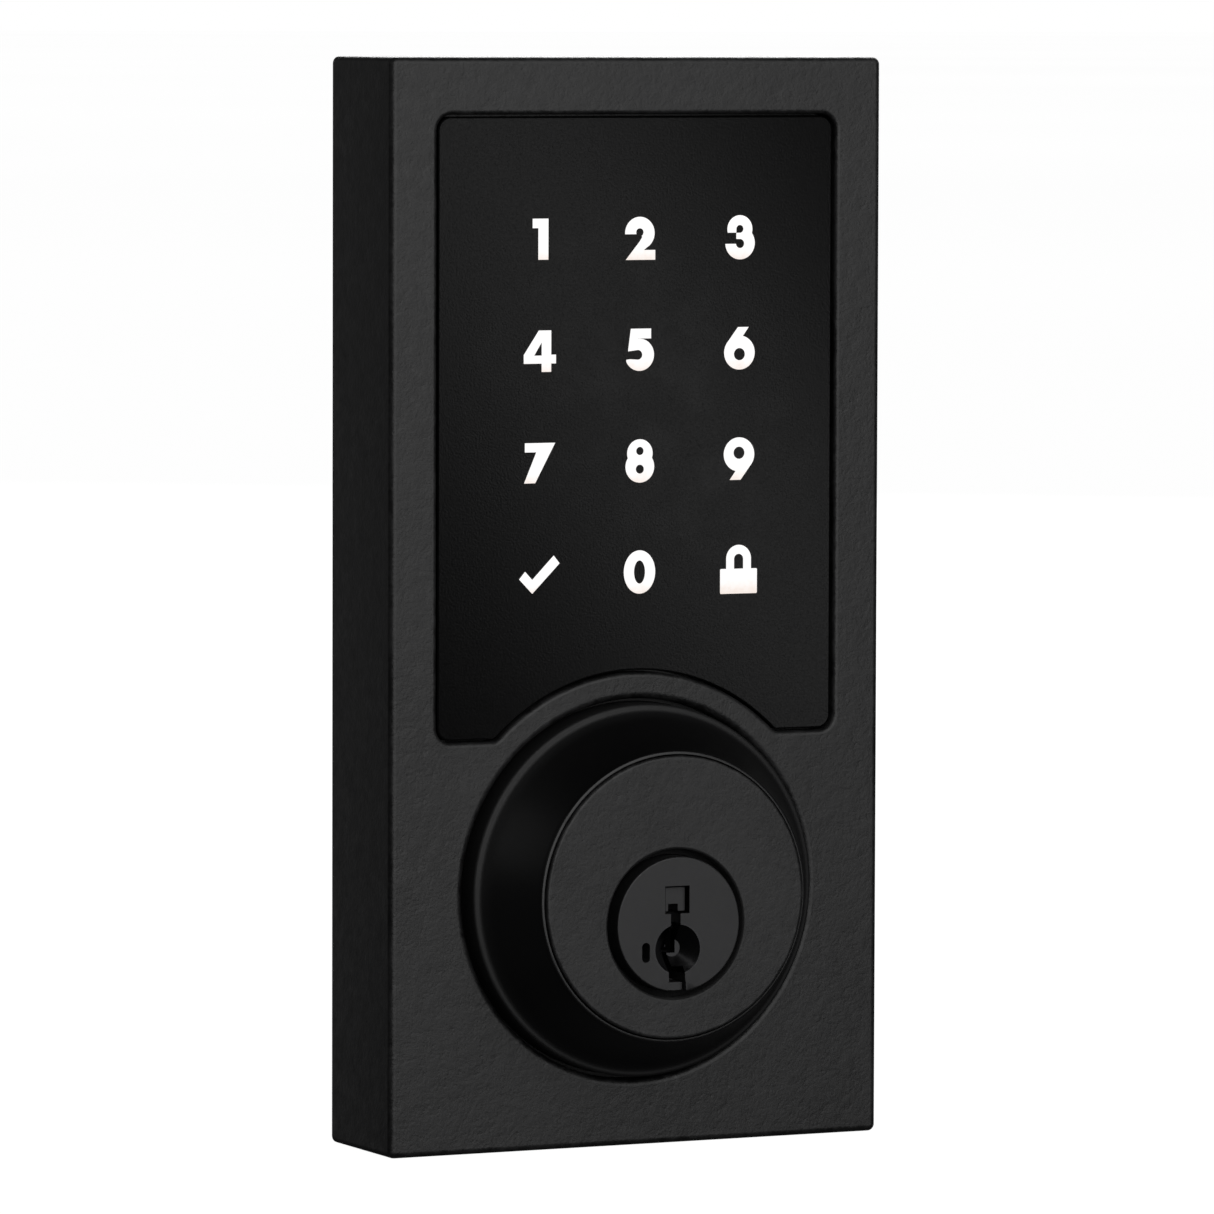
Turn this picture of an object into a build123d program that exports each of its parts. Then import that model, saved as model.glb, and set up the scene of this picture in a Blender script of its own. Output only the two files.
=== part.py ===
from build123d import *
from math import cos, hypot, pi, radians, sin
import os

# Outdoor half of a touch-key deadbolt. Millimetres. X right, Z up, the user stands on the -Y side.
# The origin is the key's turning axis where it meets the door. Every "out" value is a distance
# from the door towards the user; a negative one reaches into the door.

# ---- driving dimensions ----
case_width = 69.1
case_height = 139.0
case_above_key = 109.44          # key axis to the top of the case
case_wall = 2.0
front_wall = 2.2
case_front = 18.77
case_back = 0.5                  # the gasket stands this far behind the case rim
case_corner = 0.9
case_edge = 0.8

panel_margin_side = 6.5          # the case's frame beside and above the touch panel
panel_margin_top = 7.24
panel_bottom = 22.9
panel_corner = 2.0
panel_foot_r = 1.2               # rounding where the scoop meets the panel's lower edge
panel_lip = 0.6
lens_gap = 0.25
lens_recess = 0.55
lens_flange = 1.2                # how far the lens reaches behind the front wall
lens_flange_thick = 1.3
lens_flange_corner = 4.5
lens_edge = 0.2
lens_tape = 0.3
tape_margin = 0.1

key_column_x = 0.5
key_row_top = 86.45
key_pitch_x = 14.1
key_pitch_z = 14.18
legend_depth = 0.3
legend_proud = 0.02

guide_thick = 3.0
well_size = 9.6
well_corner = 1.5
board_thick = 1.6
led_size = (2.0, 1.3, 0.8)
chips = ((6, 78, 9, 9, 1.2), (-4, 58, 7, 7, 1.0), (12, 55, 5, 4, 1.4))     # x, z, width, height, rise
stack_inset = 0.6                # guide, board and cover sit this far inside the opening's outline
cover_flange = 1.0
cover_depth = 5.4
cover_wall = 1.2
cover_rim = 5.2
cover_corner = 1.5
cover_edge = 0.8
stack_screw_in = 2.75            # screws inside the panel's sides, lower edge and upper edge
stack_screw_low = 4.6
stack_screw_high = 4.2
stack_screw_r = 1.0
stack_screw_bite = 2.2
stack_screw_fit = 0.15
stack_head_r = 1.9
stack_head_high = 1.2
header_size = (11.0, 4.6)
header_up = 3.95                 # header's middle above the cover tray's lower wall
header_height = 4.6
header_wall = 0.8
header_floor = 1.2
header_pins = 4
header_pin_pitch = 2.0
header_pin_thick = 0.6
header_fit = 0.3                 # round the header in the cover's window
sounder_r = 6.0
sounder_height = 2.6
sounder_edge = 0.4
sounder_port_r = 1.0
sounder_port_depth = 1.0
sounder_x = -12.0
sounder_below_panel_top = 14.2

collar_z = 3.35                  # the guard ring is centred above the key axis
collar_gap = 0.5                 # dark gap round the ring where it enters the case
collar_lip = 0.9
collar_margin = 3.4              # metal left between the collar hole and the panel's scoop
ring_rim = 0.61                  # flat rim round the cylinder's face
ring_spread = 5.3                # how much the cone widens towards the case
ring_rise = 10.93                # the ring's top above the case's front
ring_overlap = 1.0               # hidden flange that keeps the ring in
ring_flange_thick = 1.2
ring_play = 0.2
ring_bore_land = 3.5
ring_crown = 0.25
ring_hollow = 0.25               # how far the cone's middle is drawn in
ring_bead = 1.1                  # width of the flared, rounded bead at the cone's foot
ring_bead_rise = 2.43            # where the cone meets the bead, above the case's front
ring_bead_drop = 0.95
ring_foot_wall = 2.4
ring_skirt_in = 2.6
ring_skirt_rise = 2.0
ring_relief = 0.8                # below the bore's land
washer_thick = 0.6
washer_margin = 0.2
washer_bore_in = 2.0

face_r = 17.99
face_rise = 11.39
face_edge = 0.35
spin_fit = 0.10
bearing_flange_thick = 2.0
neck_wall = 3.93
barrel_wall = 2.33
barrel_step = 1.5                # least shoulder between the neck and the barrel
post_clear = 0.4                 # least gap between the neck and a post's head
barrel_reach = 4.0               # behind the door plane
lug_r = 4.0
lug_places = ((-13.0, 13.0), (13.0, 13.0), (0.0, -15.5))

plug_r = 8.59
plug_rise = 12.26
plug_fit = 0.08
plug_edge = 0.2
plug_recess_gap = 0.92
plug_recess_depth = 2.2
plug_recess_edge = 0.3
plug_reach = 7.2
keyway_depth = 26.5
keyway_profile = ((-1.11, 2.57), (0.26, 2.57), (0.26, -3.75), (-0.9, -3.75), (-0.7, -5.4), (0.85, -5.4),
                  (0.95, -7.3), (-1.35, -7.3), (-1.4, -5.9), (-2.0, -2.93), (-1.11, -2.93))
dish_place = (-0.14, -3.14)
dish_r = 3.3
dish_rim = 0.15
dish_floor_r = 1.1
dish_depth = 1.7
insert_depth = 3.0
block_recess = 0.85
block_depth = 3.0
block_fit = 0.14
upper_window = (-1.86, 1.46, 1.43, 4.86)      # left, right, lower and upper edges on the plug's face
lower_window = (-1.5, 1.05, -7.3)             # left, right and upper edges; open at the plug's side
tool_slot_place = (-4.59, -3.41)
tool_slot_size = (2.54, 1.1)
tool_slot_depth = 11.0

tumblers = 5
tumbler_pitch = 3.8
first_tumbler_depth = 7.03       # behind the plug's face
pin_x = -0.42
pin_r = 1.35
pin_low = -1.6
pin_high = 3.4
pin_tip = 0.6
pin_neck_r = 1.0
pin_fit = 0.10
pin_foot_gap = 0.3
tumbler_travel = 2.2
tab_low = 1.3                    # the wafer's tab, which the pin's neck carries
tab_high = 1.9
tab_width = 1.2
spring_top = 7.0
spring_wire = 0.2
spring_turns = 5
spring_gap = 0.02
strip_half = 1.6
strip_thick = 0.7
strip_fit = 0.1
wafer_x = -3.15
wafer_thick = 1.0
wafer_width = 2.6
wafer_height = 6.0
wafer_gap_below = 0.6
wafer_gap_above = 0.5
gate_half = 0.5
gate_depth = 0.5
sidebar_inner_x = -4.9
sidebar_half = 1.0
sidebar_nose_half = 0.2
sidebar_nose_taper = 0.8
sidebar_nose_gap = 0.15
sidebar_fit = 0.12
sidebar_end_gap = 0.2
sidebar_overrun = 1.6            # past the outermost tumblers, where its springs push
sidebar_groove = 1.3
sidebar_groove_end = 0.3
sidebar_spring_r = 0.5
sidebar_spring_wire = 0.15
sidebar_spring_turns = 5
sidebar_spring_in = 0.9          # from each end of the sidebar
sidebar_spring_fit = 0.2
sidebar_spring_gap = 0.05
spring_pocket_end = -3.0
finger_half = 0.35
finger_width = 1.4
finger_gap = 0.15                # between a finger and its wafer while the sidebar is drawn back
finger_fit = 0.1
side_fit = 0.15                  # each side of a tab or a finger in the plug

back_plate_thick = 1.6
gasket_thick = 2.0
rear_fit = 0.15
boss_inset = 4.55
boss_r = 2.7
boss_web = 2.0
boss_web_sink = 0.15             # how far the web runs into the case's wall
screw_fit = 0.1
screw_end_gap = 0.5
cross_long = 1.1                 # a cross recess's length and width, as parts of the head's and shank's size
cross_wide = 0.35
cross_depth = 0.7
pan_cross_long = 1.2
pan_cross_wide = 0.4
pan_cross_depth = 0.6
plate_screw_r = 1.25
plate_head_r = 2.4
plate_screw_bite = 8.0
cylinder_screw_r = 1.5
cylinder_head_r = 2.9
cylinder_screw_bite = 6.5
door_bore_r = 25.2               # clear circle left in the gasket around the door's bore
post_spacing = 34.9
post_r = 3.4
post_head_r = 4.4
post_head_high = 1.2
post_head_chamfer = 0.4
post_reach = 10.0
post_thread_r = 2.1
post_thread_depth = 12.0
grommet_clear = 0.4              # between the grommet's lip and the cylinder's neck
grommet_opening = (13.0, 5.6)
grommet_wall = 1.2
grommet_lip = 1.0
grommet_lip_thick = 1.0
gasket_notch_clear = 0.3

blade_head_r = 5.5
blade_fit = 0.10
blade_head_thick = 3.0
blade_pocket = 5.2               # depth of the pocket in the plug's rear end
blade_play = 0.3
blade_width = 5.6
blade_thick = 2.4
blade_corner = 0.5
blade_reach = 62.0
blade_swing = 90.0               # free travel either way before the plug drives the blade
blade_swing_spare = 16.0
peg_r = 0.8
peg_orbit = 4.0
peg_length = 2.6
peg_slot_clear = 0.25
peg_slot_depth = 2.4
retainer_bore_r = 3.6
retainer_inset = 0.3
retainer_play = 0.25
clip_thick = 0.8
clip_play = 0.15
clip_overhang = 1.6
clip_groove_depth = 1.0
clip_fit = 0.05
clip_mouth = 9.0

# ---- radii and levels worked out from them ----
ring_top_r = face_r + ring_rim
ring_base_r = ring_top_r + ring_spread
collar_hole_r = ring_base_r + collar_gap
ring_flange_r = collar_hole_r + ring_overlap
panel_to_collar = collar_hole_r + collar_margin
ring_front = case_front + ring_rise
face_front = case_front + face_rise
plug_front = case_front + plug_rise
plug_bore_r = plug_r + plug_fit
plug_recess_r = plug_r + plug_recess_gap
panel_width = case_width - 2 * panel_margin_side
panel_top = case_above_key - panel_margin_top
stack_screw_x = panel_width / 2 - stack_screw_in
lowest_row = panel_bottom + stack_screw_low
highest_row = panel_top - stack_screw_high
stack_screw_rows = (lowest_row, (lowest_row + highest_row) / 2, highest_row)
neck_r = min(plug_bore_r + neck_wall, post_spacing / 2 - post_head_r - post_clear)
barrel_r = min(plug_bore_r + barrel_wall, neck_r - barrel_step)
clip_r = plug_r + clip_overhang
clip_groove_r = plug_r - clip_groove_depth
first_tumbler = plug_front - first_tumbler_depth
case_mid_z = case_above_key - case_height / 2
cavity_width = case_width - 2 * case_wall
cavity_height = case_height - 2 * case_wall
front_inside = case_front - front_wall
lens_front = case_front - lens_recess
lens_seat = front_inside - lens_tape
lens_back = lens_seat - lens_flange_thick
board_front = lens_back - guide_thick
board_back = board_front - board_thick
plate_back = gasket_thick
plate_front = plate_back + back_plate_thick
ring_back = front_inside - ring_play - ring_flange_thick
bearing_front = ring_back - ring_play - washer_thick
bearing_back = bearing_front - bearing_flange_thick
key_columns = [key_column_x + step * key_pitch_x for step in (-1, 0, 1)]
key_rows = [key_row_top - step * key_pitch_z for step in range(4)]
tumbler_outs = [first_tumbler - step * tumbler_pitch for step in range(tumblers)]
tumbler_end = tumbler_outs[-1] - tumbler_pitch / 2
tumbler_start = first_tumbler + tumbler_pitch / 2
sidebar_low = tumbler_end - sidebar_overrun
sidebar_high = tumbler_start + sidebar_overrun
sidebar_spring_outs = (sidebar_low + sidebar_spring_in, sidebar_high - sidebar_spring_in)
header_z = collar_z + panel_to_collar + cover_rim + cover_wall + header_up
pocket_front = -plug_reach + blade_pocket
blade_head_back = pocket_front - blade_play - blade_head_thick
clip_front = -barrel_reach - clip_play
plate_screw_end = plate_front + plate_screw_bite - screw_end_gap
cylinder_screw_end = plate_front + cylinder_screw_bite - screw_end_gap


# ---- shared ways of making a shape ----
def slab(outline, low, high):
    """An outline seen from the front, made solid between two distances out from the door."""
    return extrude(Plane.XZ.offset(low) * outline, high - low)


def rod(x, z, r, low, high):
    """A round bar pointing out of the door."""
    return slab(Pos(x, z) * Circle(r), low, high)


def block(x0, x1, z0, z1, low, high):
    """A square block given by its left, right, lower and upper faces."""
    outline = Pos((x0 + x1) / 2, (z0 + z1) / 2) * Rectangle(x1 - x0, z1 - z0)
    return slab(outline, low, high)


def turned(profile, z=0):
    """A face of radius and distance out, turned about an axis that points out of the door."""
    return Pos(0, 0, z) * revolve(mirror(profile, Plane.XZ), Axis.Y)


def upright(x, out, r, low, high):
    """A round vertical bar."""
    return Pos(x, -out, (low + high) / 2) * Cylinder(r, high - low)


def coil(r, wire, length, turns):
    """A spring standing on the origin."""
    path = Helix(pitch=(length - wire) / turns, height=length - wire, radius=r)
    start = Plane(origin=path @ 0, z_dir=path % 0)
    return Pos(0, 0, wire / 2) * sweep(start * Circle(wire / 2), path=path, is_frenet=True)


def screw(x, z, r, low, high, head_r):
    """A countersunk screw driven in from behind: its head is flush with the low end."""
    head = head_r - r
    profile = make_face(Polyline(
        (0, low), (head_r, low), (r, low + head), (r, high - r / 2), (r / 2, high), (0, high), close=True))
    cross = Rectangle(head_r * cross_long, r * cross_wide) + Rectangle(r * cross_wide, head_r * cross_long)
    return Pos(x, 0) * turned(profile, z) - slab(Pos(x, z) * cross, low, low + head * cross_depth)


def sunk_hole(x, z, r, low, high, head_r):
    """The clearance hole for such a screw, opened out at its low end."""
    head = head_r - r
    profile = make_face(Polyline((0, low), (head_r, low), (r, low + head), (r, high), (0, high), close=True))
    return Pos(x, 0) * turned(profile, z)


def save(shape, node):
    """Write one piece to its own file."""
    export_step(shape, "parts/" + node + ".step")


def save_group(shapes, node):
    """Write like pieces to one file as separate solids."""
    export_step(Compound(children=list(shapes)), "parts/" + node + ".step")


os.makedirs("parts", exist_ok=True)
corner_x = case_width / 2 - boss_inset
corner_top = case_above_key - boss_inset
corner_bottom = case_above_key - case_height + boss_inset
corners = [(x, z) for x in (-corner_x, corner_x) for z in (corner_bottom, corner_top)]


# ---- outlines that several pieces share ----
def case_outline(inset, r):
    """The case's rectangle, drawn in from its outer faces."""
    return Pos(0, case_mid_z) * RectangleRounded(case_width - 2 * inset, case_height - 2 * inset, r)


def panel_outline(grow, r):
    """The touch panel's shape: a rounded rectangle scooped out below, concentric with the guard ring."""
    middle = (panel_top + panel_bottom) / 2
    outline = Pos(0, middle) * RectangleRounded(panel_width + 2 * grow, panel_top - panel_bottom + 2 * grow, r)
    scoop_r = panel_to_collar - grow
    outline -= Pos(0, collar_z) * Circle(scoop_r)
    feet = [v for v in outline.vertices() if abs(hypot(v.X, v.Y - collar_z) - scoop_r) < 0.01]
    return fillet(feet, panel_foot_r)


# ---- case: die-cast shell, open at the back ----
def make_case():
    shell = slab(case_outline(0, case_corner), case_back, case_front)
    shell = fillet(shell.faces().sort_by(Axis.Y)[0].edges(), case_edge)
    shell -= slab(case_outline(case_wall, case_corner), case_back, front_inside)
    window = slab(panel_outline(0, panel_corner), front_inside, case_front)
    shell -= window
    rim = shell.faces().sort_by(Axis.Y)[0]
    shell = fillet(rim.inner_wires()[0].edges(), panel_lip)
    shell -= rod(0, collar_z, collar_hole_r, front_inside, case_front)
    rim = shell.faces().sort_by(Axis.Y)[0]
    hole = [e for w in rim.inner_wires() for e in w.edges() if abs(w.length - 2 * pi * collar_hole_r) < 1]
    shell = fillet(hole, collar_lip)
    for x, z in corners:
        wall_x = (cavity_width / 2 + boss_web_sink) * (1 if x > 0 else -1)
        boss = rod(x, z, boss_r, plate_front, front_inside)
        web = block(min(x, wall_x), max(x, wall_x), z - boss_web / 2, z + boss_web / 2,
                    plate_front, front_inside)
        shell += boss + web
        shell -= rod(x, z, plate_screw_r, plate_front, plate_front + plate_screw_bite)
    return shell


case = make_case()
save(case, "case")


# ---- key legends: twelve clear-white windows moulded through the lens ----
def polygon(*points):
    return make_face(Polyline(*points, close=True))


def spot(x, z, r):
    return Pos(x, z) * Circle(r)


def glyph_one():
    return polygon((-0.25, -2.6), (1.15, -2.6), (1.15, 2.6), (-1.05, 2.6), (-1.05, 1.4), (-0.25, 1.4))


def glyph_two():
    bowl = spot(-0.1, 0.65, 2.08) - spot(-0.1, 0.75, 0.52)
    bowl -= polygon((-2.6, 0.52), (-0.6, 0.52), (-0.1, 0.6), (1.1, -0.95), (1.2, -2.0), (-2.6, -2.0))
    leg = polygon((-2.08, -2.75), (2.08, -2.75), (2.08, -1.5), (0.47, -1.5), (1.37, -0.82), (1.75, -0.2),
                  (0.42, 0.72), (0.25, 0.15), (-0.15, -0.45))
    return bowl + leg


def glyph_three():
    body = spot(0, 1.05, 1.78) + spot(0.03, -0.73, 2.1)
    notch = polygon((-2.5, 0.6), (-0.5, 0.6), (-0.5, -0.83), (-2.5, -0.83))
    upper = spot(0, 1.07, 0.5) + polygon((-0.5, 0.57), (0, 0.57), (0, 1.07), (-0.5, 1.07))
    lower = spot(0.03, -0.8, 0.58) + polygon((-0.55, -0.8), (0.03, -0.8), (0.03, -0.22), (-0.55, -0.22))
    bar = polygon((-0.5, 0.57), (0.6, 0.57), (0.6, -0.22), (-0.5, -0.22))
    return body - notch - upper - lower + bar


def glyph_four():
    body = polygon((-0.15, 2.63), (1.58, 2.63), (1.58, -0.45), (2.25, -0.45), (2.25, -1.57), (1.58, -1.57),
                   (1.58, -2.63), (0.25, -2.63), (0.25, -1.57), (-2.25, -1.57), (-2.25, -0.45))
    return body - polygon((-0.8, -0.55), (0.25, -0.55), (0.25, 1.13))


def glyph_five():
    bowl = spot(-0.1, -0.65, 2.05) & polygon((-1.95, -2.8), (2.2, -2.8), (2.2, 1.5), (-1.95, 1.5))
    bowl -= spot(-0.33, -0.65, 0.62)
    bowl -= polygon((-0.33, -0.03), (-1.72, -0.2), (-2.4, -0.2), (-2.4, -1.3), (-1.4, -1.2), (-0.33, -1.27))
    bowl -= polygon((-2.4, -0.3), (-2.4, 2.0), (-1.2, 2.0), (-1.2, -0.3))
    flag = polygon((-1.33, 2.68), (1.53, 2.68), (1.53, 1.42), (-0.33, 1.42), (-0.42, 0.9), (-0.33, -0.03),
                   (-1.72, -0.2))
    return bowl + flag


def glyph_six():
    stem = polygon((-1.73, 0.74), (-0.22, 2.7), (1.32, 2.7), (0.03, 0.95), (0, -0.5))
    return spot(0, -0.57, 2.18) + stem - spot(0, -0.77, 0.78)


def glyph_seven():
    return polygon((-2.07, 2.55), (2.17, 2.55), (-0.63, -2.55), (-2.17, -2.55), (-0.47, 1.38), (-2.07, 1.38))


def glyph_eight():
    body = spot(0, 0.97, 1.8) + spot(0, -0.74, 2.03)
    return body - spot(0, 1.27, 0.52) - spot(0, -1.05, 0.57)


def glyph_nine():
    return Rot(0, 0, 180) * glyph_six()


def glyph_zero():
    return Ellipse(2.22, 2.77) - Ellipse(0.78, 1.48)


def glyph_tick():
    return polygon((-2.83, -0.53), (-2.0, 0.43), (-1.0, -0.63), (2.0, 2.4), (2.83, 1.4), (-1.0, -2.4))


def glyph_padlock():
    body = Pos(0, -1.52) * RectangleRounded(5.26, 3.2, 0.15)
    hoop = spot(0, 1.37, 1.77) + polygon((-1.77, 0), (1.77, 0), (1.77, 1.37), (-1.77, 1.37))
    hoop -= spot(0, 1.33, 0.65) + polygon((-0.65, -0.1), (0.65, -0.1), (0.65, 1.33), (-0.65, 1.33))
    return body + hoop


legend_glyphs = (glyph_one, glyph_two, glyph_three, glyph_four, glyph_five, glyph_six,
                 glyph_seven, glyph_eight, glyph_nine, glyph_tick, glyph_zero, glyph_padlock)
legend_places = [(x, z) for z in key_rows for x in key_columns]
legend_outlines = [Pos(x, z) * glyph() for glyph, (x, z) in zip(legend_glyphs, legend_places)]
legend_floor = lens_front - legend_depth
save_group([slab(o, legend_floor, lens_front + legend_proud) for o in legend_outlines], "key_legends")


# ---- touch lens: smoked moulding that drops in from behind, and the tape that holds it ----
def make_lens():
    land = slab(panel_outline(-lens_gap, panel_corner - lens_gap), lens_seat, lens_front)
    land = fillet(land.faces().sort_by(Axis.Y)[0].edges(), lens_edge)
    flange = slab(panel_outline(lens_flange, lens_flange_corner), lens_back, lens_seat)
    lens = land + flange
    for outline in legend_outlines:
        lens -= slab(outline, legend_floor, lens_front)
    for x, z in stack_places:
        lens -= rod(x, z, stack_screw_r, lens_back, lens_back + stack_screw_bite)
    return lens


stack_places = [(x, z) for z in stack_screw_rows for x in (-stack_screw_x, stack_screw_x)]
save(make_lens(), "touch_lens")
tape_outer = panel_outline(lens_flange - tape_margin, lens_flange_corner)
tape_inner = panel_outline(tape_margin, panel_corner)
save(slab(tape_outer - tape_inner, lens_seat, front_inside), "lens_tape")


# ---- light guide: white frame with a well behind each legend ----
def stack_outline(inset):
    """The outline of what is stacked behind the lens."""
    return panel_outline(-inset, panel_corner)


guide = slab(stack_outline(stack_inset), board_front, lens_back)
for x, z in legend_places:
    guide -= slab(Pos(x, z) * RectangleRounded(well_size, well_size, well_corner), board_front, lens_back)
for x, z in stack_places:
    guide -= rod(x, z, stack_screw_r + stack_screw_fit, board_front, lens_back)
save(guide, "light_guide")

# ---- touch board with its lamps, chips, sounder and cable header ----
board = slab(stack_outline(stack_inset), board_back, board_front)
for x, z in stack_places:
    board -= rod(x, z, stack_screw_r + stack_screw_fit, board_back, board_front)
save(board, "touch_board")
led_width, led_height, led_rise = led_size
save_group([slab(Pos(x, z) * Rectangle(led_width, led_height), board_front, board_front + led_rise)
            for x, z in legend_places], "key_leds")


def chip(x, z, width, height, rise):
    return slab(Pos(x, z) * Rectangle(width, height), board_back - rise, board_back)


save_group([chip(*sizes) for sizes in chips], "board_chips")
sounder_z = panel_top - sounder_below_panel_top
sounder_top = board_back - sounder_height
sounder = rod(sounder_x, sounder_z, sounder_r, sounder_top, board_back)
sounder -= rod(sounder_x, sounder_z, sounder_port_r, sounder_top, sounder_top + sounder_port_depth)
save(fillet(sounder.faces().sort_by(Axis.Y)[-1].outer_wire().edges(), sounder_edge), "sounder")
header_back = board_back - header_height
header_length, header_wide = header_size
header = slab(Pos(0, header_z) * Rectangle(header_length, header_wide), header_back, board_back)
header -= slab(Pos(0, header_z) * Rectangle(header_length - 2 * header_wall, header_wide - 2 * header_wall),
               header_back, board_back - header_floor)
for pin in range(header_pins):
    pin_place = Pos((pin - (header_pins - 1) / 2) * header_pin_pitch, header_z)
    pin_outline = pin_place * Rectangle(header_pin_thick, header_pin_thick)
    header += slab(pin_outline, header_back + header_floor, board_back - header_floor / 2)
save(header, "cable_header")

# ---- board cover: tray that closes the back of the electronics, with its screws ----
cover_rear = board_back - cover_depth


def tray_outline(inset):
    """The raised tray of the cover: a plain rectangle above the scoop."""
    low = collar_z + panel_to_collar + inset
    high = panel_top - inset
    return Pos(0, (low + high) / 2) * RectangleRounded(panel_width - 2 * inset, high - low, cover_corner)


cover = slab(stack_outline(stack_inset), board_back - cover_flange, board_back)
cover += slab(tray_outline(cover_rim), cover_rear, board_back)
cover = fillet(cover.faces().sort_by(Axis.Y)[-1].edges(), cover_edge)
cover -= slab(tray_outline(cover_rim + cover_wall), cover_rear + cover_wall, board_back)
for x, z in stack_places:
    cover -= rod(x, z, stack_screw_r + stack_screw_fit, board_back - cover_flange, board_back)
header_window = Pos(0, header_z) * Rectangle(header_length + 2 * header_fit, header_wide + 2 * header_fit)
cover -= slab(header_window, cover_rear, cover_rear + cover_wall)
save(cover, "board_cover")


def pan_screw(x, z, r, low, high, head_r, head_high):
    """A pan-head screw driven in from behind; the head stands below low."""
    crown = head_high * (1 - pan_cross_depth)
    head = fillet(rod(x, z, head_r, low - head_high, low).faces().sort_by(Axis.Y)[-1].edges(), crown)
    long, wide = head_r * pan_cross_long, r * pan_cross_wide
    cross = Rectangle(long, wide) + Rectangle(wide, long)
    return head + rod(x, z, r, low, high) - slab(Pos(x, z) * cross, low - head_high, low - crown)


stack_low = board_back - cover_flange
stack_high = lens_back + stack_screw_bite - stack_screw_fit
save_group([pan_screw(x, z, stack_screw_r, stack_low, stack_high, stack_head_r, stack_head_high)
            for x, z in stack_places], "stack_screws")


# ---- guard ring: hard conical collar that spins freely on the cylinder housing ----
def make_guard_ring():
    bore = face_r + spin_fit
    flange_top = ring_back + ring_flange_thick
    bead_top = case_front + ring_bead_rise
    bead_foot = bead_top - ring_bead_drop
    lip = ring_base_r - ring_bead
    slope = (ring_top_r + lip) / 2 - ring_hollow
    land = ring_front - ring_bore_land
    shoulder = ring_front - ring_crown
    outside = Polyline((bore, ring_front), (ring_top_r - ring_crown, ring_front))
    crown = ThreePointArc((ring_top_r - ring_crown, ring_front),
                          (ring_top_r - ring_crown / 4, ring_front - ring_crown / 3), (ring_top_r, shoulder))
    cone = ThreePointArc((ring_top_r, shoulder), (slope, (ring_front + bead_top) / 2), (lip, bead_top))
    bead_middle = (ring_base_r - ring_bead / 2, bead_top - ring_bead_drop * 0.4)
    flare_middle = (lip + ring_bead * 0.22, bead_top - ring_bead_drop * 0.28)
    flare = ThreePointArc((lip, bead_top), flare_middle, bead_middle)
    bead = ThreePointArc(bead_middle, (ring_base_r - ring_bead * 0.12, bead_top - ring_bead_drop * 0.56),
                         (ring_base_r, bead_foot))
    inside = Polyline((ring_base_r, bead_foot), (ring_base_r, flange_top), (ring_flange_r, flange_top),
                      (ring_flange_r, ring_back), (ring_base_r - ring_foot_wall, ring_back),
                      (ring_base_r - ring_skirt_in, ring_back + ring_skirt_rise),
                      (bore + ring_relief, land), (bore, land), (bore, ring_front))
    return turned(make_face([outside, crown, cone, flare, bead, inside]), collar_z)


save(make_guard_ring(), "guard_ring")
washer_outline = Circle(ring_flange_r - washer_margin) - Circle(ring_base_r - washer_bore_in)
save(slab(Pos(0, collar_z) * washer_outline, bearing_front, bearing_front + washer_thick), "thrust_washer")


# ---- cylinder housing: fixed eccentric body whose round face the key plug turns in ----
def make_housing():
    body = rod(0, collar_z, face_r, bearing_back, face_front)
    body = fillet(body.faces().sort_by(Axis.Y)[0].edges(), face_edge)
    body += rod(0, collar_z, ring_flange_r, bearing_back, bearing_front)
    body += rod(0, 0, neck_r, plate_front, bearing_back)
    body += rod(0, 0, barrel_r, -barrel_reach, plate_front)
    for x, z in lug_places:
        body += rod(x, z, lug_r, plate_front, bearing_back)
    for x, z in lug_places:
        body -= rod(x, z, cylinder_screw_r, plate_front, plate_front + cylinder_screw_bite)
    body -= rod(0, 0, plug_recess_r, face_front - plug_recess_depth, face_front)
    rim = body.faces().sort_by(Axis.Y)[0]
    body = fillet(rim.inner_wires()[0].edges(), plug_recess_edge)
    body -= rod(0, 0, plug_bore_r, -barrel_reach, face_front)
    groove = Pos(-plug_bore_r, 0) * Rot(0, 0, 45) * Rectangle(sidebar_groove, sidebar_groove)
    return body - slab(groove, sidebar_low - sidebar_groove_end, sidebar_high + sidebar_groove_end)


save(make_housing(), "cylinder_housing")
save_group([screw(x, z, cylinder_screw_r, plate_back, cylinder_screw_end, cylinder_head_r)
            for x, z in lug_places], "cylinder_screws")


# ---- key plug: turns in the housing and holds the tumblers ----
keyway_outline = polygon(*keyway_profile)
chamber_r = pin_r + pin_fit
wafer_left = wafer_x - wafer_thick / 2
wafer_right = wafer_x + wafer_thick / 2
finger_end = wafer_left - finger_gap


def block_at(out, x0, x1, z0, z1, width):
    """A block centred on a distance out from the door."""
    return block(x0, x1, z0, z1, out - width / 2, out + width / 2)


def across(x0, x1, out, r):
    """A round bar lying across the lock."""
    return Pos((x0 + x1) / 2, -out, 0) * Rot(0, 90, 0) * Cylinder(r, abs(x1 - x0))


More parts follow.
